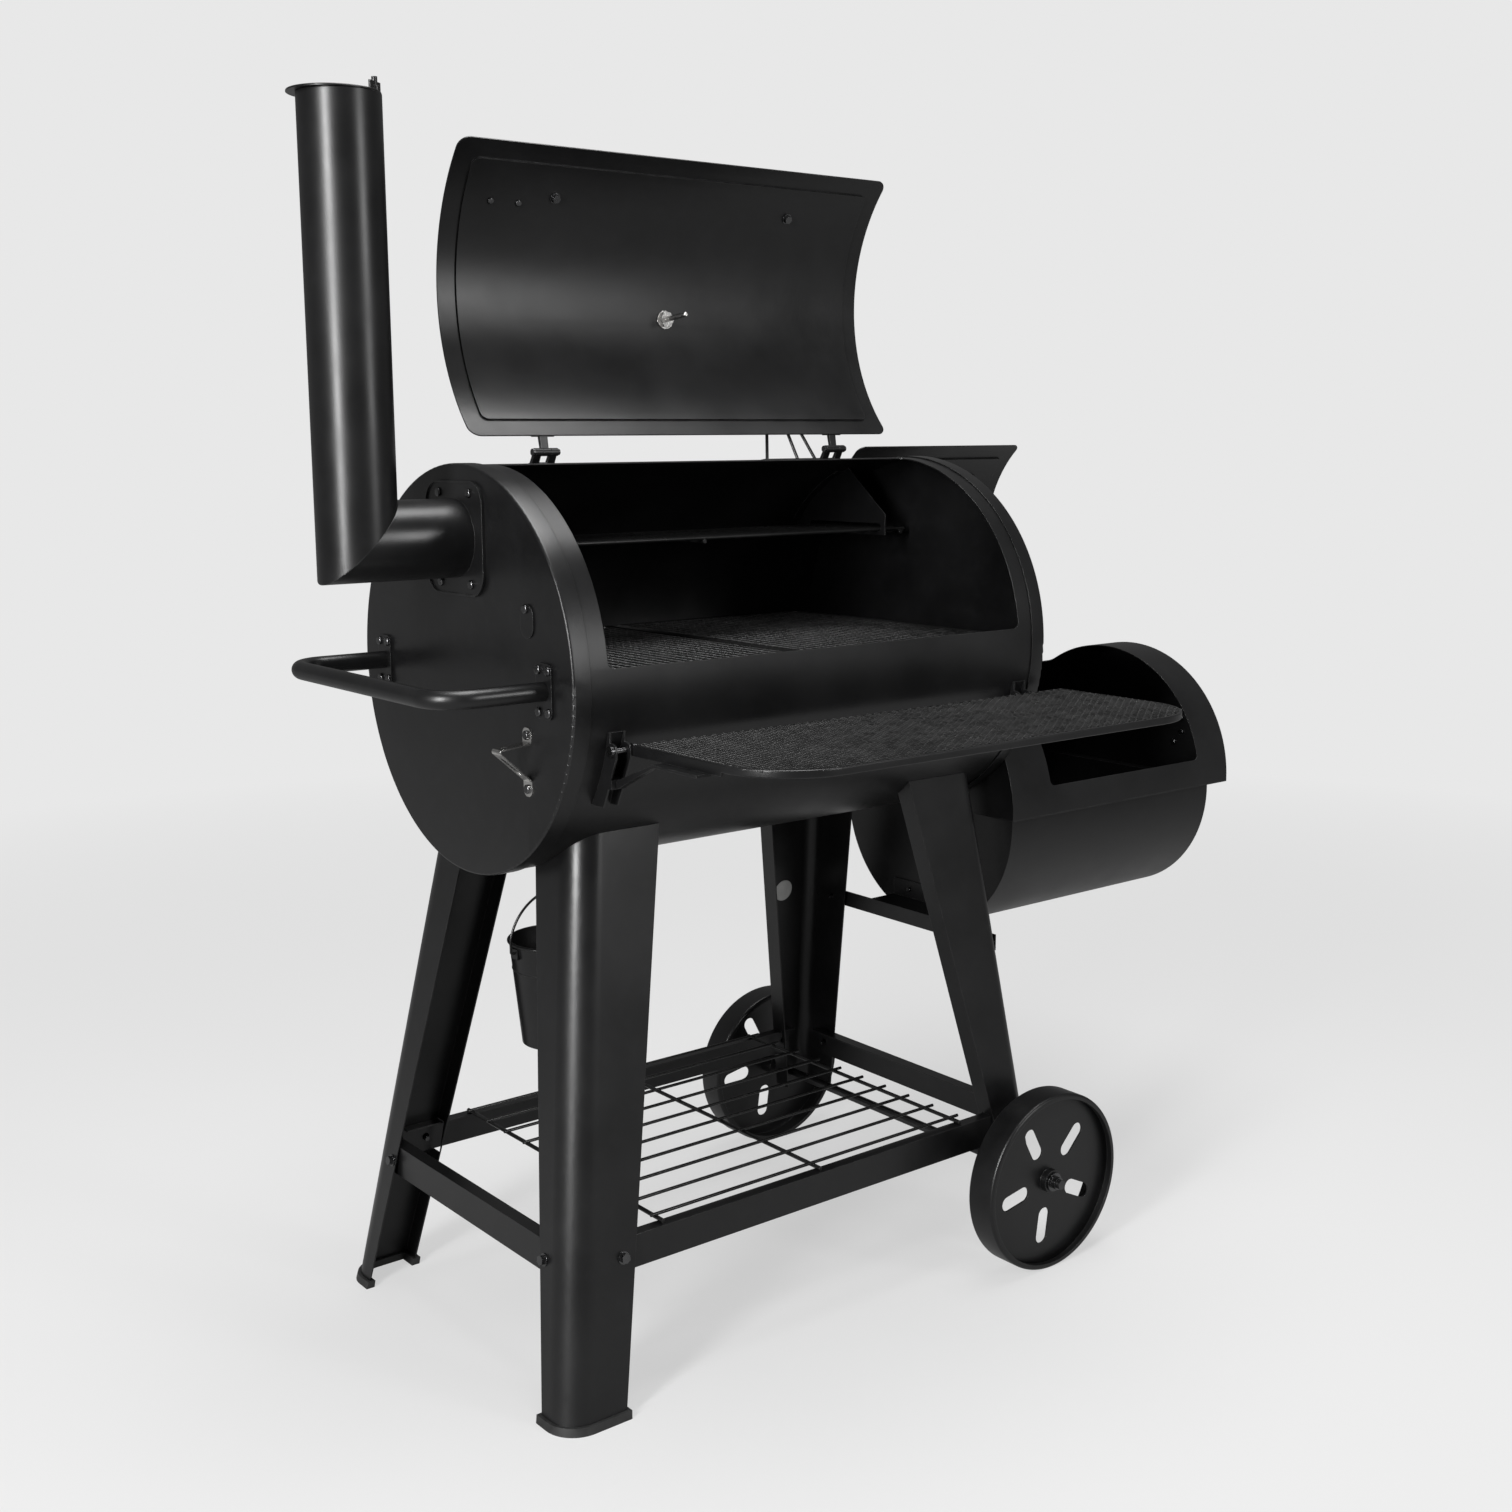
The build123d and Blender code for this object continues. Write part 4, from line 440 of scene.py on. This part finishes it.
# ---- thermometer face: ticks and plain numbers over its 270 degrees ----
DIAL_OUT = Vector((0, 0.9947, -0.1028)).normalized()
DIAL_SWEEP = 270
DIAL_NUMBERS = range(100, 701, 100)
DIAL_START = 225                       # degrees
DIAL_RISE = 0.55                       # millimetres from the dial's middle to its printed face
TICK_STEPS, TICKS_PER_NUMBER = 60, 10
TICK_INNER_MAJOR, TICK_INNER_MINOR, TICK_OUTER = 0.78, 0.85, 0.93   # shares of the dial's radius
TICK_HALF_MAJOR, TICK_HALF_MINOR = 0.5, 0.22                        # millimetres
INK, NUMBER_INK = 0.08, 0.04                                        # millimetres
NUMBER_SIZE, NUMBER_PLACE = 0.23, 0.6                               # shares of the dial's radius


def dial_frame():
    low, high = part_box("thermometer_dial")
    across = Vector((1, 0, 0))
    upward = DIAL_OUT.cross(across)
    turn = Matrix((across, upward, DIAL_OUT)).transposed().to_4x4()
    radius = (high.x - low.x) / 2
    return Matrix.Translation((low + high) / 2 + DIAL_OUT * DIAL_RISE * MM) @ turn, radius


def make_dial_print():
    place, radius = dial_frame()
    bm = bmesh.new()
    for i in range(TICK_STEPS + 1):
        angle = math.radians(DIAL_START - DIAL_SWEEP * i / TICK_STEPS)
        major = i % TICKS_PER_NUMBER == 0
        inner = radius * (TICK_INNER_MAJOR if major else TICK_INNER_MINOR)
        outer = radius * TICK_OUTER
        half = (TICK_HALF_MAJOR if major else TICK_HALF_MINOR) * MM
        along = Vector((math.cos(angle), math.sin(angle), 0))
        aside = Vector((-math.sin(angle), math.cos(angle), 0))
        corners = (along * inner - aside * half, along * outer - aside * half,
                   along * outer + aside * half, along * inner + aside * half)
        bottom = [bm.verts.new(place @ c) for c in corners]
        top = [bm.verts.new(place @ (c + Vector((0, 0, INK * MM)))) for c in corners]
        bm.faces.new(bottom[::-1])
        bm.faces.new(top)
        for k in range(4):
            bm.faces.new((bottom[k], bottom[(k + 1) % 4], top[(k + 1) % 4], top[k]))
    add_piece("dial_ticks", as_mesh(bm, "dial_ticks"), PRINT, "lid")
    for i, number in enumerate(DIAL_NUMBERS):
        text = bpy.data.curves.new(f"dial_{number}", "FONT")
        text.body = str(number)
        text.size = radius * NUMBER_SIZE
        text.align_x = text.align_y = "CENTER"
        text.extrude = NUMBER_INK * MM
        writing = bpy.data.objects.new("writing", text)
        mesh = bpy.data.meshes.new_from_object(writing)
        bpy.data.objects.remove(writing)
        angle = math.radians(DIAL_START - DIAL_SWEEP * i / (len(DIAL_NUMBERS) - 1))
        spot = Vector((math.cos(angle), math.sin(angle), 0)) * radius * NUMBER_PLACE
        mesh.transform(place @ Matrix.Translation(spot))
        add_piece(f"dial_number_{number}", mesh, PRINT, "lid")


# ---- stage and light ----
FLOOR_RADIUS = 30.0
BACKDROP = 0.807               # how bright the pale paper looks where nothing shades it
SHADED_SHARE = 0.325           # how much of that the lamps give near the object
FLOOR_ALBEDO = 0.24
PAPER_GLOW = 0.3               # how much of the paper's tone lights the object
FLOOR_SIDES = 96
FADE_START, FADE_END = 1.0, 3.6   # metres from the origin, where shadows begin and finish fading
ROOM = 0.14                    # strength of the room's even light
# name, place, target, size in metres, and power in watts
LAMPS = (
    ("key", (-3.3, -1.2, 1.7), (-0.1, 0, 0.9), (0.55, 1.9), 135),
    ("front_fill", (1.15, -3.2, 1.7), (0.1, 0, 0.7), (0.6, 1.2), 32),
    ("overhead", (0.1, -0.2, 3.6), (0, 0, 0.8), (2.2, 1.6), 95),
)


def make_floor():
    """Pale paper: it takes soft shadows near the object and fades to an even tone far away."""
    bm = bmesh.new()
    ring = [bm.verts.new((FLOOR_RADIUS * math.cos(2 * math.pi * i / FLOOR_SIDES),
                          FLOOR_RADIUS * math.sin(2 * math.pi * i / FLOOR_SIDES), 0))
            for i in range(FLOOR_SIDES)]
    bm.faces.new(ring)
    s = Shader("pale_floor", Specular_IOR_Level=0.0, Roughness=1.0)
    length = s.node("ShaderNodeVectorMath", operation="LENGTH")
    s.link(s.place, length.inputs[0])
    far = s.spread(length.outputs["Value"], 0, 1, FADE_START, FADE_END)
    s.link(s.mix(far, (FLOOR_ALBEDO,) * 3, (0, 0, 0)), s.surface.inputs["Base Color"])
    grain = s.noise(6, 4)
    near = (BACKDROP * (1 - SHADED_SHARE),) * 3
    glow = s.mix(far, near, (BACKDROP,) * 3)
    s.link(glow, s.surface.inputs["Emission Color"])
    seen = s.node("ShaderNodeLightPath").outputs["Is Camera Ray"]
    s.link(s.spread(seen, PAPER_GLOW, 1, 0, 1), s.surface.inputs["Emission Strength"])
    s.bump([(grain, 0.0002)])
    floor = bpy.data.objects.new("floor", as_mesh(bm, "floor"))
    floor.data.materials.append(s.material)
    bpy.context.scene.collection.objects.link(floor)


def area_light(name, place, target, size, power):
    data = bpy.data.lights.new(name, "AREA")
    data.shape = "RECTANGLE"
    data.size, data.size_y = size
    data.energy = power
    light = bpy.data.objects.new(name, data)
    light.location = place
    light.rotation_euler = (Vector(target) - Vector(place)).to_track_quat("-Z", "Y").to_euler()
    bpy.context.scene.collection.objects.link(light)


def make_light():
    """A dim room that looks pale to the camera, with a tall lamp on the left and a broad one above."""
    world = bpy.data.worlds.new("studio")
    world.use_nodes = True
    tree = world.node_tree
    room = tree.nodes["Background"]
    room.inputs["Color"].default_value = (1, 1, 1, 1)
    room.inputs["Strength"].default_value = ROOM
    paper = tree.nodes.new("ShaderNodeBackground")
    paper.inputs["Color"].default_value = (1, 1, 1, 1)
    paper.inputs["Strength"].default_value = BACKDROP
    seen = tree.nodes.new("ShaderNodeLightPath")
    mix = tree.nodes.new("ShaderNodeMixShader")
    tree.links.new(seen.outputs["Is Camera Ray"], mix.inputs["Fac"])
    tree.links.new(room.outputs[0], mix.inputs[1])
    tree.links.new(paper.outputs[0], mix.inputs[2])
    tree.links.new(mix.outputs[0], tree.nodes["World Output"].inputs["Surface"])
    bpy.context.scene.world = world
    for lamp in LAMPS:
        area_light(*lamp)


make_camera()
finish_cad_nodes()
make_shelf_mesh()
make_cooking_grates()
make_badge()
make_dial_print()
make_floor()
make_light()
bpy.context.scene.view_settings.view_transform = "Standard"
